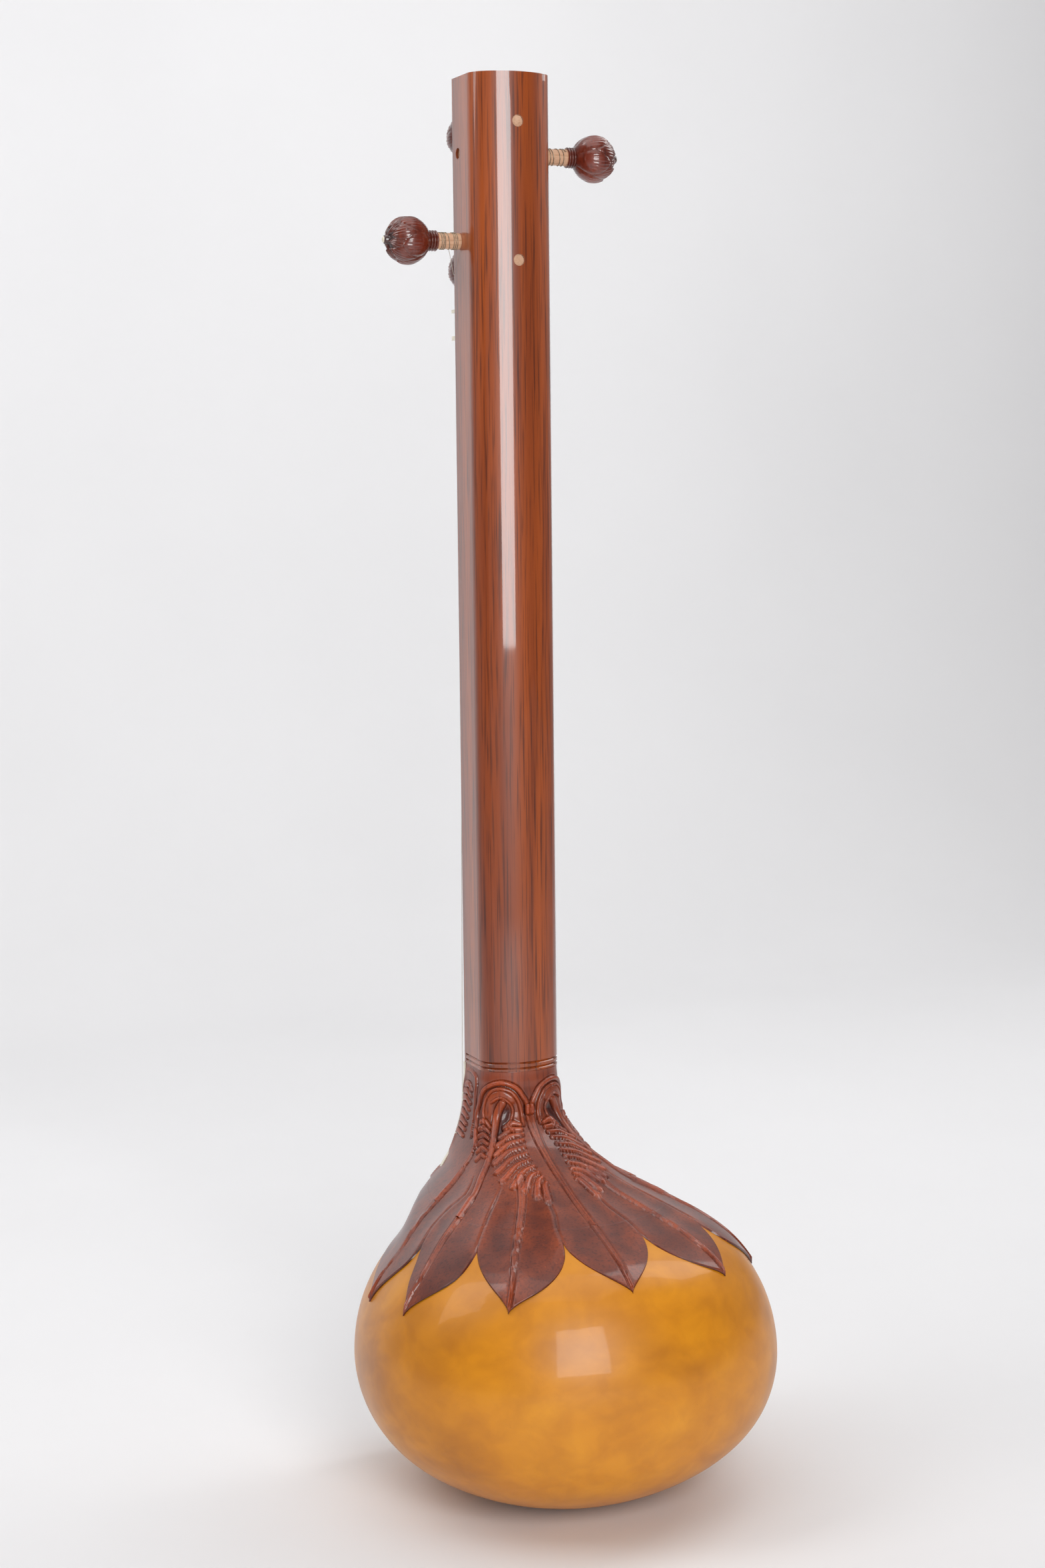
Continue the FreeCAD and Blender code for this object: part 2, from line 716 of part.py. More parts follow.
def build_front_plate():
    """The flat front of the neck, with its two long edges rounded over."""
    plate_body = new_body("plate_body")
    sketch = new_sketch(plate_body, "XY_Plane", "plate_section")
    corners = [(-HALF, PLATE_BACK), (-HALF, FRONT + EDGE_ROUND), (-HALF + EDGE_ROUND, FRONT),
               (HALF - EDGE_ROUND, FRONT), (HALF, FRONT + EDGE_ROUND), (HALF, PLATE_BACK)]
    outline(sketch, corners, {1: (EDGE_ROUND, -1), 3: (EDGE_ROUND, -1)})
    pad(plate_body, sketch, NECK_TOP - HEEL_TOP, "plate_pad")
    place(plate_body, (0, 0, HEEL_TOP))
    front_holes = [peg_hole(label) for label in ("peg_1", "peg_2")]
    finish(combine("Cut", "neck_front_plate_cut", plate_body, *front_holes), "neck_front_plate")


def build_cap_and_block():
    """The thin cap with the neck's whole section, and the block under it inside the neck."""
    cap_body = new_body("cap_body")
    sketch = new_sketch(cap_body, "XY_Plane", "cap_section")
    corners, arcs = round_back(0, FRONT + EDGE_ROUND)
    corners += [(HALF - EDGE_ROUND, FRONT), (-HALF + EDGE_ROUND, FRONT)]
    arcs = {**arcs, 5: (EDGE_ROUND, 1), 7: (EDGE_ROUND, 1)}
    outline(sketch, corners, arcs)
    pad(cap_body, sketch, dim("cap_thickness"), "cap_pad")
    place(cap_body, (0, 0, NECK_TOP))
    finish(cap_body, "neck_top_cap")

    block_body = new_body("end_block_body")
    sketch = new_sketch(block_body, "XY_Plane", "end_block_section")
    corners, arcs = round_back(dim("neck_wall"), PLATE_BACK)
    outline(sketch, corners, arcs)
    pad(block_body, sketch, dim("end_block_length"), "end_block_pad")
    place(block_body, (0, 0, NECK_TOP - dim("end_block_length")))
    finish(block_body, "end_block")


# ---------------------------------------------------------------- bridge, nut and guide
BOARD_TOP = FRONT - dim("dome_rise")
BRIDGE_TOP = BOARD_TOP - dim("bridge_height")
CROWN_RADIUS = number("crown_radius")
GUIDE_RISE = number("guide_rise")
STRINGS = {"string_1": -1.5, "string_2": -0.5, "string_3": 0.5, "string_4": 1.5}


def bridge_plate():
    """The broad bridge top, long the way of the strings, with its gently rounded crown."""
    half = dim("bridge_length") / 2
    drop = CROWN_RADIUS - math.sqrt(CROWN_RADIUS**2 - float(half) ** 2)
    body = new_body("bridge_top_body")
    sketch = new_sketch(body, "YZ_Plane", "bridge_top_section")
    level = dim("bridge_level")
    under = BRIDGE_TOP + dim("bridge_plate")
    corners = [(BRIDGE_TOP + drop, level - half), (under, level - half), (under, level + half),
               (BRIDGE_TOP + drop, level + half)]
    outline(sketch, corners, {3: (CROWN_RADIUS, -1)})
    pad(body, sketch, dim("bridge_width"), "bridge_top_pad", midplane=True)
    return finish(body, "bridge_top")


def bridge_feet():
    """Two broad feet under the bridge top, arched between them, cut to sit on the dome."""
    half_long = dim("bridge_length") / 2 - dim("foot_inset")
    half_wide = dim("bridge_width") / 2 - dim("foot_inset")
    level = dim("bridge_level")
    block = box("bridge_block", (-half_wide, BRIDGE_TOP + dim("bridge_plate"), level - half_long),
                (half_wide, FRONT + OVERLAP, level + half_long))
    arch = primitive("Cylinder", "bridge_arch", (0, FRONT - OVERLAP, level - half_long - OVERLAP),
                     Radius=dim("arch_radius"), Height=half_long * 2 + 2 * OVERLAP)
    ball = dome_ball()
    ground = feature("bridge_ground", Part.makeSphere(
        ball, Vector(0, front - number("dome_rise") + ball, number("bridge_level"))
    ))
    return finish(combine("Cut", "bridge_feet_cut", block, arch, ground), "bridge_feet")


def dome_ball():
    """The radius of the ball that the soundboard's raised middle is a cap of."""
    reach, rise = number("dome_radius"), number("dome_rise")
    return (reach**2 + rise**2) / (2 * rise)


def build_nut_and_guide():
    half = HALF - dim("plate_inset")
    nut_level = TOP - dim("nut_drop")
    finish(box("nut_box", (-half, FRONT - dim("nut_rise"), nut_level - dim("nut_thickness") / 2),
               (half, FRONT, nut_level + dim("nut_thickness") / 2)), "nut")
    level = TOP - dim("guide_drop")
    thick = dim("guide_thickness")
    body = box("guide_box", (-half, FRONT - dim("nut_rise"), level - thick / 2),
               (half, FRONT, level + thick / 2))
    holes = [
        primitive("Cylinder", f"guide_hole_{name}",
                  (dim("nut_spacing") * place_of, FRONT - GUIDE_RISE, level - thick),
                  Radius=dim("guide_hole"), Height=thick * 2)
        for name, place_of in STRINGS.items()
    ]
    finish(combine("Cut", "string_guide_cut", body, *holes), "string_guide")


# ---------------------------------------------------------------- strings
def bridge_points(place_of):
    """Where a string runs: out of the tailpiece, over the bridge and on to the nut."""
    radius = number("string_radius")
    thread = number("thread_radius")
    half = number("bridge_length") / 2
    crown = float(BRIDGE_TOP)
    drop = CROWN_RADIUS - math.sqrt(CROWN_RADIUS**2 - half**2)
    tail_y = front - number("tail_depth")
    across_tail = number("tail_spacing") * place_of
    across = number("bridge_spacing") * place_of
    level = number("bridge_level")
    return [
        Vector(across_tail, tail_y, number("tail_low") + OVERLAP),
        Vector(across_tail, tail_y, number("tail_high") + OVERLAP),
        Vector(across, crown + drop - radius - 2 * thread, level - half),
        Vector(across, crown - radius - 2 * thread, level),
    ]


def tangent_end(start, centre, radius, sign):
    """The point where a line from start, seen along an axis, just touches a circle."""
    away = start - centre
    reach = away.Length
    angle = math.atan2(away.y, away.x) + sign * math.acos(radius / reach)
    return centre + Vector(math.cos(angle), math.sin(angle), 0) * radius


def string_route(label, place_of):
    radius = number("string_radius")
    nut_y = front - number("nut_rise") - radius
    nut_level = float(TOP) - number("nut_drop")
    guide_level = float(TOP) - number("guide_drop")
    across = number("nut_spacing") * place_of
    route = bridge_points(place_of)
    route.append(Vector(across, nut_y, nut_level))
    route.append(Vector(across, front - GUIDE_RISE, guide_level))
    reach = number("peg_radius") + number("wire_wrap") + radius + number("winding_gap")
    if label in ("string_2", "string_3"):
        peg = PEGS["peg_2" if label == "string_2" else "peg_1"]
        side = -1 if label == "string_2" else 1
        route.append(Vector(side * reach, front - GUIDE_RISE, float(peg[1][2])))
        return route
    side, peg = (-1, PEGS["peg_3"]) if label == "string_1" else (1, PEGS["peg_4"])
    peg_level = float(peg[1][2])
    edge_level = peg_level - number("edge_drop")
    half = number("neck_width") / 2
    clear = 2 * radius + 0.1
    bend = number("plate_inset")
    route.append(Vector(side * (half - bend), front - clear, edge_level))
    route.append(Vector(side * (half + clear), front + bend, edge_level + bend))
    centre = Vector(float(SIDE_Y), peg_level, 0)
    touch = tangent_end(Vector(front + bend, edge_level + bend, 0), centre, reach, -1)
    wound = (number("side_low_exposed") + number("wire_margin")) / 3
    route.append(Vector(side * (half + wound), touch.x, touch.y))
    return route


def string_shape(route):
    """A round wire along straight runs, mitred where the string turns over an edge."""
    radius = number("string_radius")
    spine = Part.makePolygon(route)
    circle = Part.Circle(route[0], route[1] - route[0], radius)
    section = Part.Wire([circle.toShape()])
    return spine.makePipeShell([section], True, False, 1)


def build_strings():
    threads = []
    for label, place_of in STRINGS.items():
        route = string_route(label, place_of)
        finish(feature(f"{label}_shape", string_shape(route)), label)
        length = sum((after - before).Length for before, after in zip(route, route[1:]))
        print(f"{label} is {length:.0f} mm long")
        long = dim("thread_length")
        spot = (dim("bridge_spacing") * place_of - long / 2, BRIDGE_TOP - dim("thread_radius"),
                dim("bridge_level"))
        threads.append(primitive("Cylinder", f"thread_{label}", spot, outward(Vector(1, 0, 0)),
                                 Radius=dim("thread_radius"), Height=long))
    finish(combine("MultiFuse", "cotton_thread_set", *threads), "cotton_threads")


# ---------------------------------------------------------------- tailpiece, blocks and beads
def build_tail():
    half = dim("tail_width") / 2
    low, high = dim("tail_low"), dim("tail_high")
    plate_box = box("tail_box", (-half, FRONT - dim("tail_rise"), low), (half, FRONT, high))
    holes = [
        primitive("Cylinder", f"tail_hole_{name}",
                  (dim("tail_spacing") * place_of, FRONT - dim("tail_depth"), low - OVERLAP),
                  Radius=dim("tail_hole"), Height=high - low + 2 * OVERLAP)
        for name, place_of in STRINGS.items()
    ]
    middle = (low + high) / 2
    spots = [dim("tail_spacing") * side for side in (-1, 0, 1)]
    shafts, sinks, pins = [], [], []
    for index, across in enumerate(spots):
        spot = (across, FRONT - dim("tail_rise"), middle)
        shafts.append(tail_pin(f"tail_shaft_{index}", spot))
        sinks.append(tail_pin(f"tail_sink_{index}", spot))
        pins.append(tail_pin(f"tail_pin_{index}", spot))
    finish(combine("Cut", "tailpiece_cut", plate_box, *holes, *shafts), "tailpiece")
    finish(combine("MultiFuse", "tailpiece_pin_set", *pins), "tailpiece_pins")
    board = next(piece for piece in finished if piece.Label == "soundboard")
    finished.remove(board)
    board.Label = "soundboard_whole"
    finish(combine("Cut", "soundboard_pinned", board, *sinks), "soundboard")
    room = cavity_low.common(slab(rim, rim + number("block_depth"), float(low), float(high),
                                  number("tail_width") / 2))
    lining = next(piece for piece in finished if piece.Label == "soundboard_lining")
    block = room.cut(lining.Shape)
    bores = [tail_pin(f"tail_bore_{index}", (across, FRONT - dim("tail_rise"), middle))
             for index, across in enumerate(spots)]
    finish(combine("Cut", "tail_block_bored", feature("tail_block_room", block), *bores),
           "tail_block")


def tail_pin(name, spot):
    return primitive("Cylinder", name, spot, outward(Vector(0, 1, 0)), Radius=dim("pin_radius"),
                     Height=dim("tail_rise") + dim("board_thickness") + dim("pin_depth"))


def build_tuning_beads():
    for label, place_of in STRINGS.items():
        start, end = bridge_points(place_of)[1:3]
        direction = (end - start).normalize()
        share = (number("bead_level") - start.z) / direction.z
        centre = start + direction * share
        turn = Rotation(Vector(0, 0, 1), direction)
        ball = primitive("Sphere", f"bead_ball_{label}", tuple(centre), Radius=dim("bead_radius"))
        base = centre - direction * (number("bead_radius") + OVERLAP)
        bore = primitive("Cylinder", f"bead_bore_{label}", tuple(base), turn,
                         Radius=dim("bead_hole"), Height=dim("bead_radius") * 2 + 2 * OVERLAP)
        bead = combine("Cut", f"tuning_bead_cut_{label}", ball, bore)
        finish(bead, label.replace("string", "tuning_bead"))
        print(f"{label} runs along {tuple(round(part, 5) for part in direction)} past its bead")


build_gourd_shell()
build_leaves()
build_soundboard()
build_neck()
build_front_plate()
build_cap_and_block()
build_heel_joint()
for peg_label in PEGS:
    build_peg(peg_label)
bridge_plate()
bridge_feet()
build_nut_and_guide()
build_strings()
build_tail()
build_tuning_beads()
doc.recompute()

os.makedirs("parts", exist_ok=True)
for item in doc.Objects:
    if {"Invalid", "Error"} & set(item.State):
        raise RuntimeError(f"{item.Name} did not build: {item.State}")
for piece in finished:
    shape = piece.Shape
    if shape.isNull() or not shape.isValid():
        raise RuntimeError(f"{piece.Label} has no valid shape")
    shape.exportStep(f"parts/{piece.Label}.step")
    print(f"{piece.Label}: {len(shape.Solids)} solids, {shape.Volume:.0f} mm3")
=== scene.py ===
"""The looks of a tanpura: carved and lacquered wood, an amber gourd, lotus pegs and wound wire.

Lengths are in millimetres in the geometry functions, and in metres once they are Blender meshes.
A turn is an angle in degrees round the gourd, from its back (+Y) towards +X.
"""
import math
import bmesh
import bpy
import numpy as np
from mathutils import Matrix, Vector


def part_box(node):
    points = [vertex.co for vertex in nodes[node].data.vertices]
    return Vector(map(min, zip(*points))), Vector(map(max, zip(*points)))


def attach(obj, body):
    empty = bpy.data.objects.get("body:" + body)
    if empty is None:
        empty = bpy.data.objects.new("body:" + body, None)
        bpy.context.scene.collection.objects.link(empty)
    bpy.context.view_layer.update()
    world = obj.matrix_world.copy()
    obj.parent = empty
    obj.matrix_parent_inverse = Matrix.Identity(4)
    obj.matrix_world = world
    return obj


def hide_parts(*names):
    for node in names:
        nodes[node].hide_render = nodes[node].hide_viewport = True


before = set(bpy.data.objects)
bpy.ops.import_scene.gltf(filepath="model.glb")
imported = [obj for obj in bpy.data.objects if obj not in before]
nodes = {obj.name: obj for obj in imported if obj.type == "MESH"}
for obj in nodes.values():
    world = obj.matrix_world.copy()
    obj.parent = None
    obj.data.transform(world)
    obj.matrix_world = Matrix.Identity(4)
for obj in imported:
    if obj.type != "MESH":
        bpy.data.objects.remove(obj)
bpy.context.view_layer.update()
MM = 0.001

# ---------------------------------------------------------------- the skin, as the CAD has it
WAIST = 38.7
GOURD_RADIUS = 191.5
WIDEST_LEVEL = 125
FLARE_START, FLARE_RADIUS = 339, 81.4
SHOULDER_RADIUS, SHOULDER_TURN = 141.2, math.radians(61.2)
BLEND_TOP, BLEND_BOTTOM = 332, 222
NECK_OFFSET = 127
NECK_OVAL = (0.83, 3.0, 2.43)
GOURD_OVAL = (0.88, 1.24, 2.0)
RIM_Y = -157.5
SEAM_LEVEL, HEEL_TOP = 260, 368
LEAF_LIFT = 3.0

SHARP_ANGLE = 50
PLAIN = 0.5  # the "relief" value of a surface that is neither raised nor cut
RELIEF_SPAN = 5  # millimetres of carving from one end of the "relief" values to the other


def smooth(share):
    """A soft step from 0 to 1."""
    share = np.clip(share, 0, 1)
    return share * share * (3 - 2 * share)


def half_width(level, lift):
    """Half-width of the skin at each level, lifted off the surface."""
    flare = FLARE_RADIUS - lift
    shoulder = SHOULDER_RADIUS + lift
    flare_end = FLARE_START - flare * math.sin(SHOULDER_TURN)
    shoulder_start = WIDEST_LEVEL + shoulder * math.sin(SHOULDER_TURN)
    flared = WAIST + FLARE_RADIUS - np.sqrt(np.maximum(flare**2 - (FLARE_START - level) ** 2, 0))
    upper = WAIST + FLARE_RADIUS - flare * math.cos(SHOULDER_TURN)
    lower = GOURD_RADIUS - SHOULDER_RADIUS + shoulder * math.cos(SHOULDER_TURN)
    straight = upper + (lower - upper) * (flare_end - level) / (flare_end - shoulder_start)
    inside = np.maximum(shoulder**2 - (level - WIDEST_LEVEL) ** 2, 0)
    rounded = GOURD_RADIUS - SHOULDER_RADIUS + np.sqrt(inside)
    conditions = [level >= FLARE_START, level >= flare_end, level > shoulder_start]
    return np.select(conditions, [WAIST + lift, flared, straight], rounded)


def oval_at(level):
    """The oval's middle, depth behind, depth before and power at each level."""
    blend = smooth((BLEND_TOP - level) / (BLEND_TOP - BLEND_BOTTOM))
    behind, before, power = (
        neck + (gourd - neck) * blend for neck, gourd in zip(NECK_OVAL, GOURD_OVAL)
    )
    return -NECK_OFFSET * (1 - blend), behind, before, power


def skin(turn, level, lift=0.0):
    """Points of the skin for arrays of turns and levels."""
    turn, level = np.broadcast_arrays(np.asarray(turn, float), np.asarray(level, float))
    middle, behind, before, power = oval_at(level)
    width = half_width(level, lift)
    across, along = np.sin(np.radians(turn)), np.cos(np.radians(turn))
    depth = np.where(along > 0, behind, before)
    x = width * np.sign(across) * np.abs(across) ** (2 / power)
    y = middle + width * depth * np.sign(along) * np.abs(along) ** (2 / power)
    return np.stack([x, y, level], axis=-1)


def rim_turn(level, lift):
    """The turn at which the skin meets the soundboard's edge."""
    middle, _behind, before, power = oval_at(level)
    reach = np.clip((middle - RIM_Y) / (half_width(level, lift) * before), 0, 1)
    return 180 - np.degrees(np.arccos(reach ** (power / 2)))


def heel_lift(level):
    """How far the heel stands off the plain skin: flush with the neck, then as high as a leaf."""
    return LEAF_LIFT * smooth((HEEL_TOP - level) / (HEEL_TOP - FLARE_START))


# ---------------------------------------------------------------- mesh helpers
def new_piece(name, vertices, faces, body, stands_for, materials):
    """A closed mesh in millimetres as a piece that rides on a body."""
    mesh = bpy.data.meshes.new(name)
    mesh.from_pydata([tuple(point) for point in np.asarray(vertices) * MM], [], faces)
    shape = bmesh.new()
    shape.from_mesh(mesh)
    bmesh.ops.remove_doubles(shape, verts=shape.verts, dist=1e-7)
    bmesh.ops.recalc_face_normals(shape, faces=shape.faces)
    shape.to_mesh(mesh)
    shape.free()
    mesh.polygons.foreach_set("use_smooth", [True] * len(mesh.polygons))
    mesh.set_sharp_from_angle(angle=math.radians(SHARP_ANGLE))
    piece = bpy.data.objects.new(name, mesh)
    bpy.context.scene.collection.objects.link(piece)
    for material in materials:
        mesh.materials.append(material)
    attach(piece, body)
    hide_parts(*stands_for)
    return piece


def add_attribute(piece, name, points, values):
    """Give each vertex the value of the point that it was made from."""
    mesh = piece.data
    table = {tuple(np.round(point, 3)): value for point, value in zip(points, values)}
    attribute = mesh.attributes.new(name, "FLOAT", "POINT")
    found = [table.get(tuple(np.round(np.array(v.co) / MM, 3)), PLAIN) for v in mesh.vertices]
    attribute.data.foreach_set("value", np.array(found, np.float32))


def grid_faces(rows, columns, start=0, wrap=False):
    """Quads of a grid of vertices stored row by row."""
    last = columns if wrap else columns - 1
    return [
        (start + row * columns + column, start + row * columns + (column + 1) % columns,
         start + (row + 1) * columns + (column + 1) % columns, start + (row + 1) * columns + column)
        for row in range(rows - 1) for column in range(last)
    ]


def grid_edges(rows, columns, start=0):
    """The four edges of a grid, as runs of vertex numbers: low, high, left, right."""
    low = [start + column for column in range(columns)]
    high = [start + (rows - 1) * columns + column for column in range(columns)]
    left = [start + row * columns for row in range(rows)]
    right = [start + row * columns + columns - 1 for row in range(rows)]
    return low, high, left, right


def zip_strip(one, two):
    """Triangles between two runs of vertices that may have different counts."""
    faces, i, j = [], 0, 0
    while i < len(one) - 1 or j < len(two) - 1:
        step_one = (i + 1) / max(len(one) - 1, 1)
        step_two = (j + 1) / max(len(two) - 1, 1)
        if j == len(two) - 1 or (i < len(one) - 1 and step_one <= step_two):
            faces.append((one[i], one[i + 1], two[j]))
            i += 1
        else:
            faces.append((one[i], two[j + 1], two[j]))
            j += 1
    return faces


def closed_shell(outer, inner):
    """One closed mesh from an outer and an inner grid of points that share their outline."""
    rows, columns = outer.shape[:2]
    inner_rows, inner_columns = inner.shape[:2]
    start = rows * columns
    faces = grid_faces(rows, columns) + grid_faces(inner_rows, inner_columns, start)
    outer_edges = grid_edges(rows, columns)
    inner_edges = grid_edges(inner_rows, inner_columns, start)
    for one, two in zip(outer_edges, inner_edges):
        faces += zip_strip(one, two)
    points = np.concatenate([outer.reshape(-1, 3), inner.reshape(-1, 3)])
    return points, faces


def grid_normals(points):
    """Unit normals of a grid of points, pointing away from the instrument's inside."""
    along = np.gradient(points, axis=0)
    across = np.gradient(points, axis=1)
    normal = np.cross(across, along)
    normal /= np.maximum(np.linalg.norm(normal, axis=-1, keepdims=True), 1e-9)
    outward = points - np.array([0.0, -NECK_OFFSET / 2, 0.0])
    outward[..., 2] = 0
    facing = np.sign((normal * outward).sum(-1).mean())
    return normal * facing


def spline(spots, per_span=12):
    """A smooth run of points through the spots (Catmull-Rom)."""
    spots = np.array(spots, float)
    padded = np.vstack([2 * spots[0] - spots[1], spots, 2 * spots[-1] - spots[-2]])
    share = np.linspace(0, 1, per_span, endpoint=False)[:, None]
    runs = []
    for before, start, end, after in zip(padded, padded[1:], padded[2:], padded[3:]):
        runs.append(0.5 * (
            2 * start + (end - before) * share
            + (2 * before - 5 * start + 4 * end - after) * share**2
            + (3 * start - before - 3 * end + after) * share**3
        ))
    return np.vstack([*runs, spots[-1:]])


def distance_to(points, line, reach):
    """Distance from each point to a line of points, and how far along the line it is."""
    count = len(points)
    distance = np.full(count, 1e3)
    share = np.zeros(count)
    low, high = line.min(0) - reach, line.max(0) + reach
    near = np.nonzero(((points > low) & (points < high)).all(1))[0]
    starts, spans = line[:-1], np.diff(line, axis=0)
    lengths = np.maximum((spans**2).sum(1), 1e-12)
    for part in np.array_split(near, max(1, len(near) * len(spans) // 2_000_000)):
        away = points[part][:, None] - starts[None]
        step = np.clip((away * spans[None]).sum(2) / lengths, 0, 1)
        gap = np.linalg.norm(away - step[..., None] * spans[None], axis=2)
        best = gap.argmin(1)
        row = np.arange(len(part))
        distance[part] = gap[row, best]
        share[part] = (best + step[row, best]) / len(spans)
    return distance, share


# ---------------------------------------------------------------- the carving
# Every line below is a list of (turn, level) on the skin, for the +X side, and is mirrored.
ARCH = [(88, 300), (84, 324), (77, 338), (71, 348), (60, 354), (41, 358), (25, 357), (12, 352),
        (5, 344), (2, 338), (1.6, 330)]
CORNER_STEM = [(86, 312), (91, 298), (94, 290), (98, 282), (102, 272), (103, 258)]
HOOD = [(66, 318), (66, 336), (55, 349), (38, 353), (21, 350), (12, 342), (8, 331), (8, 320)]
HOOK = [(51, 340), (38, 344), (26, 341), (19, 334), (21, 326), (27, 320), (22, 315)]
HOOK_STEM = [(34, 339), (40, 332), (47, 319), (56, 305), (66, 294), (76, 282), (80, 270), (80, 256)]
FLANK_ARCH = [(92.5, 306), (90, 322), (88.5, 345), (89.5, 358), (93, 363), (98, 363)]
FLANK_STEM = [(92, 348), (93, 332), (96, 316), (101, 302), (107, 290)]
FLANK_EDGE = [(97, 352), (99, 338), (104, 323), (111, 309), (119, 297)]
FLANK_LOBES = 8
HOLLOW = [(27, 331), (34, 320), (42, 311)]
HOOD_CROWN = [(60, 330), (52, 343), (36, 348), (22, 343)]
ACANTHUS_STEM = [(12, 322), (12, 315), (15, 307), (16, 299), (14, 291), (12, 285), (10, 279),
                 (11, 273)]
ACANTHUS_EDGE = [(26, 322), (38, 314), (46, 307), (51, 300), (55, 294), (54, 288), (47, 283),
                 (37, 280), (28, 278), (19, 274), (14, 272)]
ACANTHUS_LOBES = 11
SIDE_STEM = [(54, 320), (58, 312), (63, 304), (68, 296), (73, 288)]
SIDE_EDGE = [(70, 324), (77, 315), (82, 306), (85, 298), (87, 290)]
SIDE_LOBES = 6
VALLEYS = [
    [(18, 253), (18, 260), (16, 268), (17, 276), (20, 284)],
    [(58.5, 250), (58.5, 260), (57, 270), (52, 279), (47, 286)],
    [(93, 240), (93, 258), (90, 270), (87, 282)],
]
# The midribs of the leaves, from where they leave the carving down to just above the tip.
RIBS = [
    [(0.6, 334), (0, 300), (0, 262), (0, 225)],
    [(31, 286), (34, 275), (37, 264), (39.5, 250), (40.5, 232), (40, 213)],
    [(80, 270), (80, 257), (80, 232), (79, 196)],
    [(99, 280), (102, 272), (103, 258), (104, 232), (103, 188)],
]
LEAF_REACH = 70  # how far from a leaf's lines their shape is worked out
LEAF_FADE_LEVEL, LEAF_FADE = 268, 22
RECESS_BOTTOM, RECESS_TOP, RECESS_DEPTH = 282, 352, 0.7
HOLLOW_DEPTH, HOOD_RISE, SOFT_EDGE = 1.7, 1.3, 4.5
CARVING_TOP, CARVING_FADE = 361, 5


def raised(height, points, line, half, rise, gutter=1.3, cut=0.7, taper=1.0):
    """Carve a rounded ridge along a line, with a narrow gutter cut beside it."""
    distance, share = distance_to(points, line, half + gutter + 1)
    width = half * (1 + (taper - 1) * share)
    inside = distance < width
    crown = rise * np.sqrt(np.clip(1 - (distance / width) ** 2, 0, 1))
    ground = np.minimum(height, 0.3)
    height = np.where(inside, ground + crown, height)
    beside = (distance >= width) & (distance < width + gutter)
    groove = cut * (1 - (distance - width) / gutter)
    return np.where(beside, height - groove, height)


def lobe_lines(stem, edge, count):
    """The lobes of a half leaf: one short curved line from its stem to its edge for each."""
    inner, outer = spline(stem), spline(edge)
    for step in range(count):
        share = (step + 0.5) / count
        start = inner[int(0.82 * share * (len(inner) - 1))]
        end = outer[int(share * (len(outer) - 1))]
        middle = (start + end) / 2 + np.array([0.0, 2.5])
        yield [tuple(start), tuple(middle), tuple(end)]


def on_skin(line, per_span=12):
    """A smooth run of points on the leaves' level of the skin."""
    path = spline(line, per_span)
    return skin(path[:, 0], path[:, 1], LEAF_LIFT)


def leaf_relief(points, level):
    """Midribs, scooped halves and valleys of the leaves, fading out under the carving above."""
    rib, valley = np.full(len(points), 60.0), np.full(len(points), 60.0)
    taper = np.ones(len(points))
    for line in RIBS:
        distance, share = distance_to(points, on_skin(line), LEAF_REACH)
        nearer = distance < rib
        rib = np.where(nearer, distance, rib)
        taper = np.where(nearer, share, taper)
    for line in VALLEYS:
        distance, _share = distance_to(points, on_skin(line), LEAF_REACH)
        valley = np.minimum(valley, distance)
    half = 3.6 - 1.9 * taper
    rounded = 1.5 * np.sqrt(np.clip(1 - (rib / half) ** 2, 0, 1))
    split = 1.2 * np.exp(-((rib / (0.28 * half)) ** 2))
    beside = 0.8 * np.exp(-(((rib - half - 0.5) / 0.8) ** 2))
    fade = 1 - smooth((level - LEAF_FADE_LEVEL) / LEAF_FADE)
    scoop = 1.1 * np.sin(np.pi * np.clip(rib / (rib + valley), 0, 1)) * fade
    fold = 1.6 * np.clip(1 - valley / 3.0, 0, 1) ** 2 * fade
    return np.where(rib < half, rounded - split, -beside) - scoop - fold


def carving(turn, level):
    """Height of the carving over the heel's plain skin, in millimetres."""
    points = skin(turn, level, LEAF_LIFT)
    height = leaf_relief(points, level)
    recess = smooth((level - RECESS_BOTTOM) / 12) * (1 - smooth((level - RECESS_TOP) / 8))
    height = height - RECESS_DEPTH * recess
    hollow, _share = distance_to(points, on_skin(HOLLOW), 12)
    height -= HOLLOW_DEPTH * np.exp(-((hollow / SOFT_EDGE) ** 2))
    hood, _share = distance_to(points, on_skin(HOOD_CROWN), 14)
    height += HOOD_RISE * np.exp(-((hood / SOFT_EDGE) ** 4))
    for line in lobe_lines(SIDE_STEM, SIDE_EDGE, SIDE_LOBES):
        height = raised(height, points, on_skin(line, 6), 1.7, 1.9, 0.9, 0.8, 1.8)
    for line in lobe_lines(ACANTHUS_STEM, ACANTHUS_EDGE, ACANTHUS_LOBES):
        height = raised(height, points, on_skin(line, 6), 2.1, 2.3, 0.9, 0.8, 1.75)
    for line in lobe_lines(FLANK_STEM, FLANK_EDGE, FLANK_LOBES):
        height = raised(height, points, on_skin(line, 6), 1.9, 2.0, 0.9, 0.8, 1.9)
    height = raised(height, points, on_skin(HOOK), 1.3, 1.3, 1.0, 0.6)
    height = raised(height, points, on_skin(HOOK_STEM), 3.9, 2.0, 1.4, 0.9, 0.75)
    height = raised(height, points, on_skin(HOOD), 1.6, 1.5, 1.1, 0.7)
    height = raised(height, points, on_skin(CORNER_STEM), 2.6, 1.7, 1.4, 0.9)
    height = raised(height, points, on_skin(FLANK_ARCH), 2.0, 1.9, 1.4, 0.9)
    height = raised(height, points, on_skin(ARCH), 2.3, 2.1, 1.5, 1.0)
    return height * (1 - smooth((level - CARVING_TOP) / CARVING_FADE))


HEEL_ROWS, HEEL_COLUMNS = 170, 251
INNER_ROWS, INNER_COLUMNS = 12, 61
WALL = 6


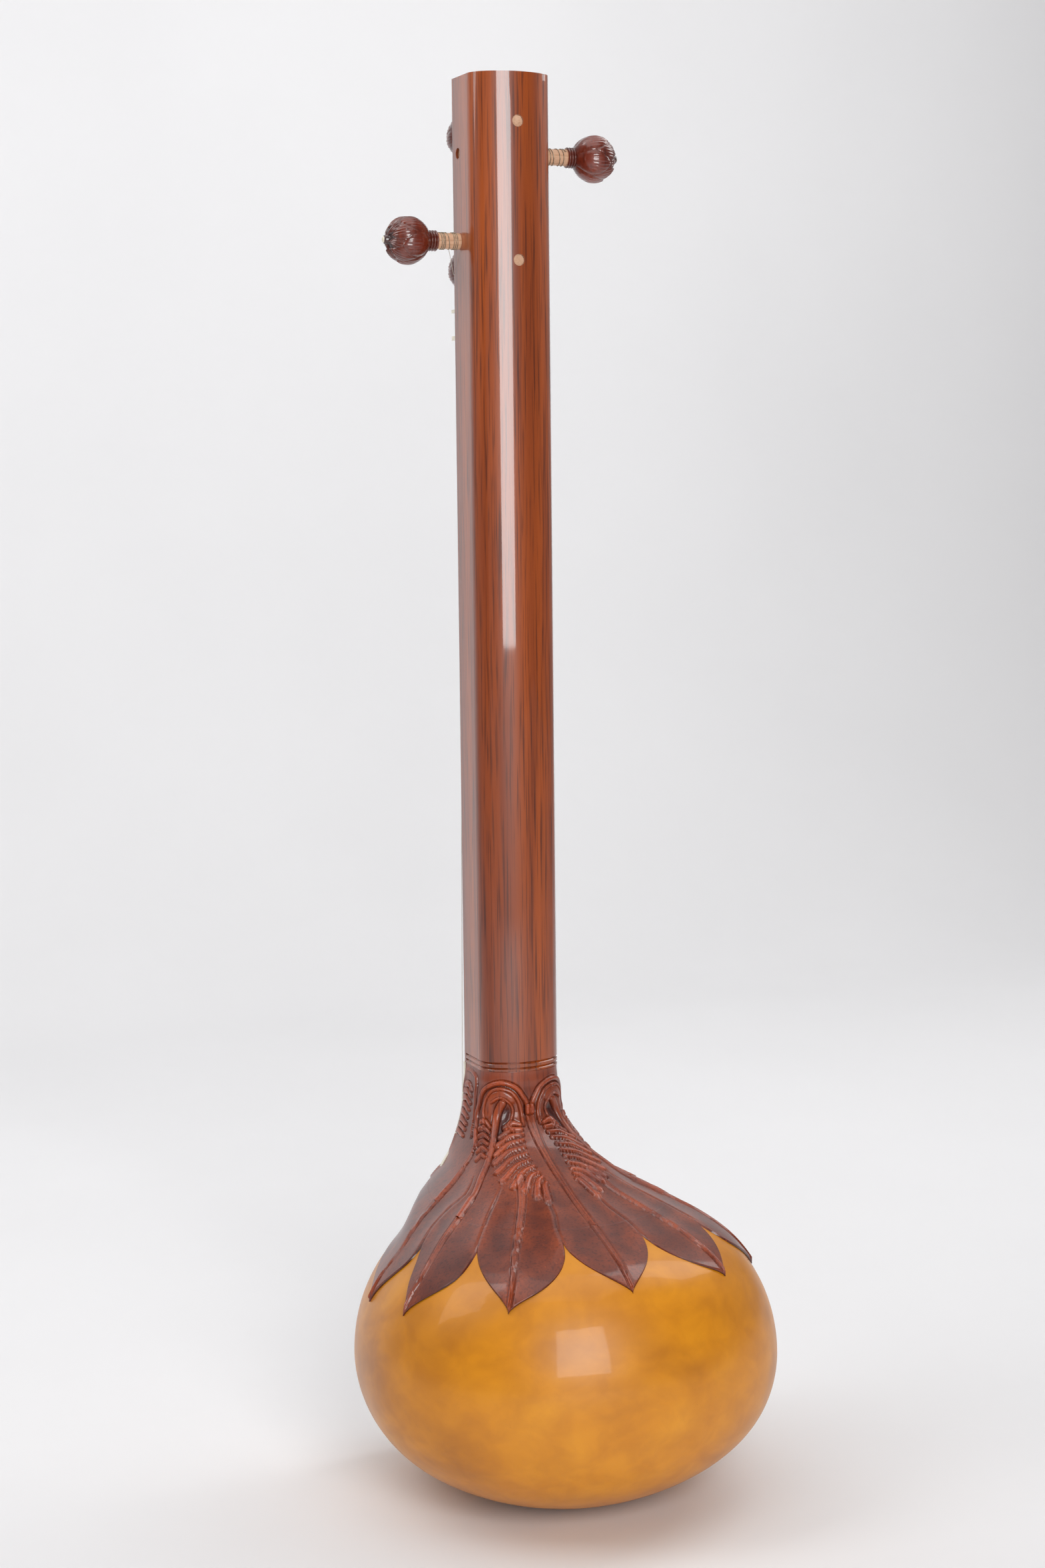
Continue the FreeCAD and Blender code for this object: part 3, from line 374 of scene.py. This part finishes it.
def build_heel(material):
    """The carved collar: a fine outer skin, a plain inner one, and flat edges between them."""
    levels = np.linspace(SEAM_LEVEL, HEEL_TOP, HEEL_ROWS)
    lift = heel_lift(levels)
    widest = rim_turn(levels, 0.0)
    share = np.linspace(0, 1, HEEL_COLUMNS)
    turn = widest[:, None] * share[None]
    level = np.broadcast_to(levels[:, None], turn.shape)
    height = carving(turn.ravel(), level.ravel()).reshape(turn.shape)
    edge_fade = smooth((1 - share) / 0.03)
    height = height * edge_fade[None]
    base = np.stack([skin(turn[row], levels[row], lift[row]) for row in range(HEEL_ROWS)])
    normals = grid_normals(base)
    normals[:, 0, 0] = 0
    half = base + normals * height[..., None]
    half[:, -1, 1] = np.maximum(half[:, -1, 1], RIM_Y)
    mirrored = half[:, :0:-1] * np.array([-1, 1, 1])
    outer = np.concatenate([mirrored, half], axis=1)
    inner_levels = np.linspace(SEAM_LEVEL, HEEL_TOP, INNER_ROWS)
    spread = np.linspace(-1, 1, INNER_COLUMNS)
    inner = np.stack([skin(rim_turn(at, -WALL) * spread, at, -WALL) for at in inner_levels])
    points, faces = closed_shell(outer, inner)
    piece = new_piece("heel_carved", points, faces, "instrument",
                      ["heel_joint"], [material])
    # the carving's height becomes the relief value that paints shade into its hollows and lightens
    # its ridges
    relief = np.concatenate([height[:, :0:-1], height], axis=1).ravel()
    values = np.concatenate([PLAIN + relief / RELIEF_SPAN, np.full(inner.size // 3, PLAIN)])
    add_attribute(piece, "relief", points, values)


# leaf: (tip turn, tip level, shoulder level, turns of its nearer and farther edge, side in X)
LEAVES = {
    "leaf_4": (0, 223, 256, -18, 18, 1), "leaf_3": (40, 211, 254, 18, 58.5, 1),
    "leaf_5": (40, 217, 254, 18, 58.5, -1), "leaf_2": (79, 194, 250, 58.5, 93, 1),
    "leaf_6": (79, 198, 250, 58.5, 93, -1), "leaf_1": (103, 184, 246, 93, 132, 1),
    "leaf_7": (103, 188, 246, 93, 132, -1),
}
LEAF_ROWS, LEAF_COLUMNS = 90, 81
LEAF_UNDER = -0.9
UNDER_ROWS, UNDER_COLUMNS = slice(None, None, 6), slice(None, None, 4)
EDGE_ROLL = 2.4


def build_leaf(label, material):
    """One leaf below the seam: a carved upper face that rolls under at its edges, and a back."""
    tip_turn, tip, shoulder, near, far, side = LEAVES[label]
    levels = tip + (SEAM_LEVEL - tip) * np.linspace(0, 1, LEAF_ROWS) ** 1.25
    open_share = np.sin(np.pi / 2 * np.clip((levels - tip) / (shoulder - tip), 0.012, 1)) ** 1.6
    far = np.minimum(far, rim_turn(levels, LEAF_LIFT) - 0.2)
    across = np.linspace(-1, 1, LEAF_COLUMNS)
    across = np.sign(across) * np.abs(across) ** 0.85
    low = tip_turn + (near - tip_turn) * open_share
    high = tip_turn + (far - tip_turn) * open_share
    turn = np.where(across[None] < 0,
                    tip_turn + (tip_turn - low[:, None]) * across[None],
                    tip_turn + (high[:, None] - tip_turn) * across[None])
    level = np.broadcast_to(levels[:, None], turn.shape)
    base = skin(turn, level, LEAF_LIFT)
    relief = leaf_relief(skin(np.abs(turn).ravel(), level.ravel(), LEAF_LIFT), level.ravel())
    relief = relief.reshape(turn.shape)
    ends = np.where(across[None, :, None] < 0, base[:, :1], base[:, -1:])
    margin = np.linalg.norm(base - ends, axis=-1)
    free = 1 - smooth((levels - shoulder + 12) / 12)[:, None]
    inward = 1 - np.clip(margin / EDGE_ROLL, 0, 1)
    roll = EDGE_ROLL * (1 - np.sqrt(np.clip(1 - inward**2, 0, 1)))
    height = relief * np.clip(margin / 2, 0, 1) - roll * (0.35 + 0.65 * free)
    normals = grid_normals(base)
    outer = base + normals * height[..., None]
    under = np.concatenate([
        skin(turn[rows, UNDER_COLUMNS], level[rows, UNDER_COLUMNS], LEAF_UNDER)
        for rows in (UNDER_ROWS, slice(-1, None))
    ])
    flip = np.array([side, 1, 1])
    points, faces = closed_shell(outer * flip, under * flip)
    piece = new_piece(f"{label}_carved", points, faces, "instrument",
                      [label], [material])
    # the leaf's height, rolled-under edges included, becomes the relief value that paints shade
    # into its grooves and edges
    upper = (PLAIN + height / RELIEF_SPAN).ravel()
    values = np.concatenate([upper, np.full(under.size // 3, PLAIN)])
    add_attribute(piece, "relief", points, values)


# ---------------------------------------------------------------- pegs
PEG_RADIUS, PEG_TAPER = 7.3, 0.031
COLLAR_LENGTH, COLLAR_WAIST = 8, 8.1
HEAD_RADIUS = 22.3
BEAD_SEAT = 3  # radius of the flat that the bead sits on
COLLAR_RINGS, RING_BULGE = 3, 1.35
HEAD_FROM_COLLAR = 20.8  # from the collar's end to the middle of the head
HEAD_ROWS, HEAD_COLUMNS = 120, 168
# tiers of petals: (how many, turn of the first, foot, tip, rise), foot and tip from -1 to 1
PETAL_TIERS = [(5, 36, 0.1, 0.985, 2.4), (5, 0, -0.3, 0.86, 3.2), (5, 36, -0.99, 0.45, 4.0)]
PETAL_DEPTH = 4.0
# peg: (outward direction, how much bare shaft shows)
PEGS = {
    "peg_1": (Vector((0, -1, 0)), 26), "peg_2": (Vector((0, -1, 0)), 26),
    "peg_3": (Vector((-1, 0, 0)), 29), "peg_4": (Vector((1, 0, 0)), 22),
}


def petal_height(turn, along):
    """Overlapping pointed petals with fine veins; along runs from -1 at the collar to 1."""
    height = np.zeros(np.broadcast(turn, along).shape)
    for count, first, foot, tip, rise in PETAL_TIERS:
        pitch = 360 / count
        away = (turn - first + pitch / 2) % pitch - pitch / 2
        share = np.clip((along - foot) / (tip - foot), 0, 1)
        reach = 0.56 * pitch * np.clip(1 - share**2.6, 0, 1) ** 0.62
        offset = np.abs(away) / np.maximum(reach, 1e-6)
        inside = (offset < 1) & (along >= foot) & (along <= tip)
        rounded = np.sqrt(np.clip(1 - offset**2, 0, 1))
        domed = rise - 1.9 * (1 - rounded) - 0.9 * (1 - np.sqrt(np.clip(1 - share**5, 0, 1)))
        veins = 0.3 * np.cos(np.radians(away) * 44) * rounded**2 * smooth((share - 0.3) * 4)
        height = np.where(inside, np.maximum(domed - 0.3 + veins, height - 0.4), height)
    return height


def lathe_profile(exposed, depth):
    """The peg's plain outline from its inner tip to the collar's end, as (radius, along)."""
    outline = [(PEG_RADIUS - PEG_TAPER * depth, -depth), (PEG_RADIUS, 0)]
    outline += [(PEG_RADIUS, along) for along in np.linspace(2, exposed - 0.4, 10)]
    ring = COLLAR_LENGTH / COLLAR_RINGS
    for index in range(COLLAR_RINGS):
        for part in np.linspace(0, 180, 9):
            bulge = RING_BULGE * math.sin(math.radians(part))
            outline.append((COLLAR_WAIST + bulge, exposed + ring * (index + part / 180.001)))
    return outline


def build_peg(label, lacquer, bare):
    """One turned peg with its petalled head, and the place and axes that its wire needs."""
    direction, exposed = PEGS[label]
    low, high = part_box(label)
    centre = (low + high) / 2 / MM
    axis = np.array(direction)
    lowest, highest = sorted(float(np.dot(np.array(corner) / MM, axis)) for corner in (low, high))
    head_end = (HEAD_FROM_COLLAR + COLLAR_LENGTH + exposed
                + math.sqrt(HEAD_RADIUS**2 - BEAD_SEAT**2))
    start = highest - head_end
    depth = start - lowest
    side = np.array([0.0, 0.0, 1.0])
    third = np.cross(axis, side)
    origin = np.array(centre) - axis * np.dot(np.array(centre), axis) + axis * start
    profile = lathe_profile(exposed, depth)
    turns = np.linspace(0, 360, HEAD_COLUMNS, endpoint=False)
    rings = [(np.full(HEAD_COLUMNS, radius), np.full(HEAD_COLUMNS, along), PLAIN)
             for radius, along in profile]
    middle = exposed + COLLAR_LENGTH + HEAD_FROM_COLLAR
    first = math.degrees(math.acos(HEAD_FROM_COLLAR / HEAD_RADIUS))
    last = math.degrees(math.asin(BEAD_SEAT / HEAD_RADIUS))
    for angle in np.linspace(180 - first + 1, last, HEAD_ROWS):
        along = math.cos(math.radians(angle))
        height = petal_height(turns, np.full(HEAD_COLUMNS, along))
        narrow = float(smooth((180 - first - angle) / 14) * smooth((angle - last) / 8))
        radius = HEAD_RADIUS - (PETAL_DEPTH + 0.05) * narrow + height * narrow
        # low relief values in the gaps between petals give painted shade there, and high ones make
        # the petal crowns lighter
        rings.append((radius * math.sin(math.radians(angle)), middle + radius * along,
                      0.1 + height / 4.6))
    points, values = [], []
    for radius, along, value in rings:
        spot = (origin + np.outer(along, axis)
                + (radius * np.cos(np.radians(turns)))[:, None] * side
                + (radius * np.sin(np.radians(turns)))[:, None] * third)
        points.append(spot)
        values.append(np.broadcast_to(value, HEAD_COLUMNS))
    count = len(rings)
    faces = grid_faces(count, HEAD_COLUMNS, wrap=True)
    faces.append(tuple(range(HEAD_COLUMNS)))
    faces.append(tuple(range((count - 1) * HEAD_COLUMNS, count * HEAD_COLUMNS)))
    points = np.concatenate(points)
    piece = new_piece(f"{label}_carved", points, faces, f"tuning_{label}",
                      [label], [lacquer, bare])
    add_attribute(piece, "relief", points, np.concatenate(values))
    split = float(np.dot(origin, axis)) + exposed - 0.2
    for face in piece.data.polygons:
        along = float(np.dot(np.array(face.center) / MM, axis))
        face.material_index = 1 if along < split else 0
    return origin, axis, side, third, exposed


def tube(points, radius, sides=8):
    """A closed round wire along a run of points."""
    points = np.asarray(points, float)
    tangents = np.gradient(points, axis=0)
    tangents /= np.linalg.norm(tangents, axis=1, keepdims=True)
    normal = np.cross(tangents[0], [0.37, 0.61, 0.7])
    rings = []
    for point, tangent in zip(points, tangents):
        normal = normal - tangent * np.dot(normal, tangent)
        normal /= np.linalg.norm(normal)
        other = np.cross(tangent, normal)
        angles = np.linspace(0, 2 * math.pi, sides, endpoint=False)
        rings.append(point + radius * (np.outer(np.cos(angles), normal)
                                       + np.outer(np.sin(angles), other)))
    count = len(points)
    faces = grid_faces(count, sides, wrap=True)
    faces.append(tuple(range(sides)))
    faces.append(tuple(range((count - 1) * sides, count * sides)))
    return np.concatenate(rings), faces


WIRE_RADIUS = 0.36
# how far along the exposed shaft each loop of wire lies, as a share of it
LOOPS = {
    "peg_1": (0.12, 0.2, 0.27, 0.35, 0.62, 0.7, 0.8, 0.9),
    "peg_2": (0.12, 0.17, 0.24, 0.4, 0.5, 0.76, 0.82, 0.9),
    "peg_3": (0.12, 0.16, 0.22, 0.38, 0.45, 0.68, 0.83, 0.9),
    "peg_4": (0.12, 0.2, 0.28, 0.36, 0.66, 0.74, 0.8, 0.9),
}


def build_winding(label, placed, material):
    """Loose turns of string round the shaft, ending in a small hook by the collar."""
    origin, axis, side, third, exposed = placed
    reach = PEG_RADIUS + WIRE_RADIUS + 0.04
    loops = LOOPS[label]
    turns = np.linspace(0, 360 * (len(loops) - 1), 30 * (len(loops) - 1))
    along = np.interp(turns / 360, range(len(loops)), loops) * exposed
    angle = np.radians(turns + 40)
    path = (origin + np.outer(along, axis) + reach * np.outer(np.cos(angle), side)
            + reach * np.outer(np.sin(angle), third))
    last, step = path[-1], path[-1] - path[-2]
    step /= np.linalg.norm(step)
    away = (last - origin) - axis * np.dot(last - origin, axis)
    away /= np.linalg.norm(away)
    hook = [last + step * 1.2 + away * 0.15, last + step * 2.0 + away * 0.55 + axis * 0.3,
            last + step * 2.6 + away * 0.35 + axis * 0.7]
    points, faces = tube(np.vstack([path, hook]), WIRE_RADIUS)
    new_piece(label.replace("peg", "winding") + "_wire", points, faces, f"tuning_{label}",
              [label.replace("peg", "winding")], [material])


# ---------------------------------------------------------------- materials
def shader(name, roughness, coat=0.0, coat_roughness=0.05, metallic=0.0, specular=0.5):
    """A new material with a Principled shader whose constants are set on its own sockets."""
    material = bpy.data.materials.new(name)
    material.use_nodes = True
    tree = material.node_tree
    principled = tree.nodes["Principled BSDF"]
    principled.inputs["Roughness"].default_value = roughness
    principled.inputs["Metallic"].default_value = metallic
    principled.inputs["Specular IOR Level"].default_value = specular
    principled.inputs["Coat Weight"].default_value = coat
    principled.inputs["Coat Roughness"].default_value = coat_roughness
    return material, tree, principled


def noise(tree, scale, stretch=(1, 1, 1), detail=4.0, distortion=0.0):
    """Noise over the object's own coordinates, stretched along an axis."""
    place = tree.nodes.new("ShaderNodeTexCoord")
    mapping = tree.nodes.new("ShaderNodeMapping")
    mapping.inputs["Scale"].default_value = [scale * part for part in stretch]
    texture = tree.nodes.new("ShaderNodeTexNoise")
    texture.inputs["Scale"].default_value = 1.0
    texture.inputs["Detail"].default_value = detail
    texture.inputs["Distortion"].default_value = distortion
    tree.links.new(place.outputs["Object"], mapping.inputs["Vector"])
    tree.links.new(mapping.outputs["Vector"], texture.inputs["Vector"])
    return texture.outputs["Fac"]


def ramp(tree, source, stops):
    """A colour ramp over a value, from (place, colour) stops."""
    node = tree.nodes.new("ShaderNodeValToRGB")
    while len(node.color_ramp.elements) < len(stops):
        node.color_ramp.elements.new(0.5)
    for element, (place, colour) in zip(node.color_ramp.elements, stops):
        element.position = place
        element.color = (*colour, 1)
    tree.links.new(source, node.inputs["Fac"])
    return node.outputs["Color"]


def mix(tree, share, one, two, kind="MIX"):
    """Two colours mixed or multiplied; each may be a colour or a socket."""
    node = tree.nodes.new("ShaderNodeMix")
    node.data_type = "RGBA"
    node.blend_type = kind
    wanted = (("Factor", "VALUE", share), ("A", "RGBA", one), ("B", "RGBA", two))
    for socket, kind_of_socket, value in wanted:
        target = next(item for item in node.inputs
                      if item.name == socket and item.type == kind_of_socket)
        if isinstance(value, bpy.types.NodeSocket):
            tree.links.new(value, target)
        else:
            target.default_value = value
    return next(item for item in node.outputs if item.type == "RGBA")


def bump(tree, principled, source, strength, distance):
    """A fine relief on the shader from a value."""
    node = tree.nodes.new("ShaderNodeBump")
    node.inputs["Strength"].default_value = strength
    node.inputs["Distance"].default_value = distance
    tree.links.new(source, node.inputs["Height"])
    tree.links.new(node.outputs["Normal"], principled.inputs["Normal"])


# carved hollows are darkened with painted shade and with lacquer pooled in them, and ridges are
# lighter where the lacquer is thin
RELIEF_PAINTED_SHADE = [(0.08, (0.22, 0.10, 0.06)), (0.4, (0.78, 0.75, 0.72)),
                 (0.62, (1, 1, 1)), (0.95, (1.35, 1.2, 1.05))]


def grain_wood(name, dark, light, streak, along=2, roughness=0.38, coat=1.0, coat_roughness=0.04,
               relief=False, fine=1.0):
    """Straight-grained wood: broad bands of colour, fine dark pores and a lacquer coat."""
    material, tree, principled = shader(name, roughness, coat, coat_roughness)

    def stretch(length):
        """Scales that draw the noise out along the grain."""
        return [length if axis == along else 1 for axis in range(3)]

    bands = noise(tree, 42 * fine, stretch(0.035), 5, 0.5)
    pores = noise(tree, 620 * fine, stretch(0.02), 3, 0.2)
    base = ramp(tree, bands, [(0.32, dark), (0.5, [(a + b) / 2 for a, b in zip(dark, light)]),
                              (0.68, light)])
    lines = ramp(tree, pores, [(0.33, streak), (0.50, (1, 1, 1)), (1.0, (1, 1, 1))])
    colour = mix(tree, 0.75, base, lines, "MULTIPLY")
    if relief:
        # painted shade in the carving's hollows and lighter ridges, from the relief value
        carved = tree.nodes.new("ShaderNodeAttribute")
        carved.attribute_name = "relief"
        shade = ramp(tree, carved.outputs["Fac"], RELIEF_PAINTED_SHADE)
        colour = mix(tree, 1.0, colour, shade, "MULTIPLY")
    tree.links.new(colour, principled.inputs["Base Color"])
    bump(tree, principled, pores, 0.12, 0.0002)
    return material


def gourd_skin():
    """Amber lacquer, mottled where the gourd shows through, deeper in drifts."""
    material, tree, principled = shader("gourd_lacquer", 0.42, 0.2, 0.06)
    broad = noise(tree, 9, (1, 1, 1.4), 4, 0.6)
    cloud = noise(tree, 34, (1, 1, 1.2), 6, 0.4)
    speck = noise(tree, 700, (1, 1, 1), 2)
    base = ramp(tree, broad, [(0.3, (0.50, 0.175, 0.003)), (0.5, (0.64, 0.235, 0.003)),
                              (0.72, (0.70, 0.275, 0.006))])
    veil = ramp(tree, cloud, [(0.35, (0.80, 0.74, 0.62)), (0.62, (1, 1, 1))])
    colour = mix(tree, 0.7, base, veil, "MULTIPLY")
    dots = ramp(tree, speck, [(0.24, (0.6, 0.5, 0.4)), (0.31, (1, 1, 1))])
    colour = mix(tree, 0.35, colour, dots, "MULTIPLY")
    tree.links.new(colour, principled.inputs["Base Color"])
    bump(tree, principled, broad, 0.25, 0.004)
    return material


def plain_finish(name, tint, roughness, coat=0.0, metallic=0.0, scale=300, stretch=(1, 1, 1),
                 spread=0.16, depth=0.0001):
    """Bone, metal, thread or glass: one colour that drifts, with a fine matching relief."""
    material, tree, principled = shader(name, roughness, coat, 0.08, metallic)
    drift = noise(tree, scale, stretch, 5)
    dark = [part * (1 - spread) for part in tint]
    light = [min(part * (1 + spread), 1) for part in tint]
    colour = ramp(tree, drift, [(0.35, dark), (0.65, light)])
    tree.links.new(colour, principled.inputs["Base Color"])
    bump(tree, principled, drift, 0.2, depth)
    return material


def dress(material, *labels):
    """Give CAD nodes that stay as they are a better material."""
    for label in labels:
        slots = nodes[label].material_slots
        if slots:
            for slot in slots:
                slot.material = material
        else:
            nodes[label].data.materials.append(material)


neck_wood = grain_wood("neck_lacquered", (0.17, 0.026, 0.003), (0.37, 0.070, 0.005),
                       (0.16, 0.09, 0.06), coat_roughness=0.035)
carved_wood = grain_wood("carved_lacquered", (0.16, 0.022, 0.005), (0.34, 0.058, 0.011),
                         (0.45, 0.35, 0.3), roughness=0.45, coat=0.5, coat_roughness=0.09,
                         relief=True, fine=0.8)
peg_lacquer = grain_wood("peg_lacquered", (0.075, 0.008, 0.003), (0.19, 0.026, 0.007),
                         (0.5, 0.4, 0.35), coat_roughness=0.05, relief=True)
# the bare shafts' grain runs along each peg: in X for the side pegs, in Y for the front ones
side_bare, front_bare = (
    grain_wood(name, (0.52, 0.29, 0.17), (0.72, 0.46, 0.30), (0.75, 0.65, 0.55), along=along,
               roughness=0.6, coat=0.1, coat_roughness=0.4)
    for name, along in (("peg_bare_across", 0), ("peg_bare_along", 1))
)
bare_wood = grain_wood("bare_wood", (0.42, 0.26, 0.15), (0.62, 0.42, 0.27), (0.7, 0.6, 0.5),
                       roughness=0.7, coat=0.0)
board_wood = grain_wood("board_lacquered", (0.22, 0.075, 0.014), (0.44, 0.18, 0.045),
                        (0.42, 0.3, 0.22), coat=0.8, coat_roughness=0.08)
bridge_wood = grain_wood("bridge_wood", (0.06, 0.022, 0.012), (0.15, 0.06, 0.03),
                         (0.4, 0.35, 0.3), along=0, coat=0.4, coat_roughness=0.2)
bone = plain_finish("bone", (0.80, 0.74, 0.60), 0.35, 0.4, scale=90, stretch=(1, 1, 4),
                    spread=0.08)
binding = plain_finish("binding_strip", (0.84, 0.79, 0.66), 0.3, 0.5, scale=60, spread=0.05)
wound = plain_finish("wound_wire", (0.34, 0.29, 0.22), 0.3, 0.0, 1.0, 900, spread=0.15)
steel = plain_finish("string_steel", (0.72, 0.68, 0.60), 0.28, 0.0, 1.0, 900, spread=0.12)
brass = plain_finish("pin_brass", (0.78, 0.56, 0.24), 0.25, 0.0, 1.0, 500, spread=0.12)
cotton = plain_finish("cotton", (0.82, 0.79, 0.72), 0.95, 0.0, 0.0, 1500, spread=0.2, depth=0.0003)
glass = plain_finish("bead_glaze", (0.78, 0.75, 0.64), 0.15, 1.0, 0.0, 120, spread=0.1)

dress(neck_wood, "neck_trough", "neck_front_plate", "neck_top_cap")
dress(gourd_skin(), "gourd_shell")
dress(board_wood, "soundboard")
dress(binding, "soundboard_binding")
dress(bare_wood, "soundboard_lining", "end_block", "tail_block", "neck_dowels")
dress(bone, "nut", "string_guide", "bridge_top", "tailpiece")
dress(bone, *(f"peg_bead_{n}" for n in range(1, 5)))
dress(bridge_wood, "bridge_feet")
dress(steel, *(f"string_{n}" for n in range(1, 5)))
dress(cotton, "cotton_threads")
dress(brass, "tailpiece_pins")
dress(glass, *(f"tuning_bead_{n}" for n in range(1, 5)))

build_heel(carved_wood)
for leaf_label in LEAVES:
    build_leaf(leaf_label, carved_wood)
for peg_label, (peg_direction, _exposed) in PEGS.items():
    bare = side_bare if peg_direction.x else front_bare
    build_winding(peg_label, build_peg(peg_label, peg_lacquer, bare), wound)


# ---------------------------------------------------------------- camera, light and stage
def aim(item, place, forward, up=Vector((0, 0, 1)), roll=0.0):
    """Put a camera or light at a place, looking along a direction."""
    forward = forward.normalized()
    right = forward.cross(up).normalized()
    above = right.cross(forward)
    right_turned = right * math.cos(roll) + above * math.sin(roll)
    above_turned = above * math.cos(roll) - right * math.sin(roll)
    matrix = Matrix((right_turned, above_turned, -forward)).transposed().to_4x4()
    matrix.translation = place
    item.matrix_world = matrix


CAMERA_PLACE = Vector((0.911, 2.109, 0.914))
CAMERA_YAW, CAMERA_PITCH, CAMERA_ROLL = map(math.radians, (22.4, 6.61, -0.62))
LENS = 59.9
WALL_Y = -3.2


def build_camera():
    """The camera, behind the instrument and to its +X side, looking slightly down."""
    data = bpy.data.cameras.new("camera")
    data.lens = LENS
    camera = bpy.data.objects.new("camera", data)
    bpy.context.scene.collection.objects.link(camera)
    level = math.cos(CAMERA_PITCH)
    forward = Vector((-math.sin(CAMERA_YAW) * level, -math.cos(CAMERA_YAW) * level,
                      -math.sin(CAMERA_PITCH)))
    aim(camera, CAMERA_PLACE, forward, roll=CAMERA_ROLL)
    bpy.context.scene.camera = camera


def area_light(name, place, target, size, power):
    """A white rectangular light, in watts, aimed at a point."""
    data = bpy.data.lights.new(name, "AREA")
    data.shape = "RECTANGLE"
    data.size, data.size_y = size
    data.energy = power
    light = bpy.data.objects.new(name, data)
    bpy.context.scene.collection.objects.link(light)
    aim(light, Vector(place), Vector(target) - Vector(place))


def build_stage():
    """A pale floor that bends up into a pale wall on the front's side of the instrument.

    The camera looks from the back, so the wall is its background. It also stands between the
    instrument and any camera that looks at its front.
    """
    bend, wall_y, reach, height, sunk = 1.2, WALL_Y, 7.0, 5.0, 0.0005
    section = [(reach, 0.0)]
    section += [(wall_y + bend * (1 - math.sin(math.radians(a))),
                 bend * (1 - math.cos(math.radians(a)))) for a in range(0, 91, 6)]
    section.append((wall_y, height))
    vertices = [(x, y, z - sunk) for y, z in section for x in (-reach, reach)]
    faces = [(2 * i, 2 * i + 1, 2 * i + 3, 2 * i + 2) for i in range(len(section) - 1)]
    mesh = bpy.data.meshes.new("backdrop")
    mesh.from_pydata(vertices, [], faces)
    mesh.polygons.foreach_set("use_smooth", [True] * len(faces))
    stage = bpy.data.objects.new("backdrop", mesh)
    bpy.context.scene.collection.objects.link(stage)
    mesh.materials.append(plain_finish("paper", (0.84, 0.84, 0.85), 0.9, scale=1.5, spread=0.012))


def build_world():
    """A pale studio all round, darker behind the camera where the room is."""
    world = bpy.data.worlds.new("studio")
    world.use_nodes = True
    tree = world.node_tree
    place = tree.nodes.new("ShaderNodeTexCoord")
    split = tree.nodes.new("ShaderNodeSeparateXYZ")
    tree.links.new(place.outputs["Generated"], split.inputs["Vector"])
    half = tree.nodes.new("ShaderNodeMath")
    half.operation = "MULTIPLY_ADD"
    half.inputs[1].default_value = 0.5
    half.inputs[2].default_value = 0.5
    tree.links.new(split.outputs["Y"], half.inputs[0])
    colour = ramp(tree, half.outputs[0], [(0.16, (1, 1, 1)), (0.36, (0.34, 0.33, 0.33)),
                                          (0.75, (0.13, 0.12, 0.12))])
    tree.links.new(colour, tree.nodes["Background"].inputs["Color"])
    tree.nodes["Background"].inputs["Strength"].default_value = 0.74
    bpy.context.scene.world = world


build_camera()
build_stage()
build_world()
area_light("strip_softbox", (0.38, 2.75, 1.42), (0, -0.1, 1.1), (1.3, 1.7), 60)
area_light("top_softbox", (0.2, 0.3, 3.1), (0, -0.1, 0.4), (2.6, 2.6), 24)
area_light("wall_wash", (-1.8, -0.6, 2.6), (-0.3, WALL_Y, 1.0), (1.6, 2.4), 40)
area_light("wall_wash_2", (1.8, -0.6, 2.6), (0.3, WALL_Y, 1.0), (1.6, 2.4), 40)
bpy.context.scene.view_settings.view_transform = "Standard"
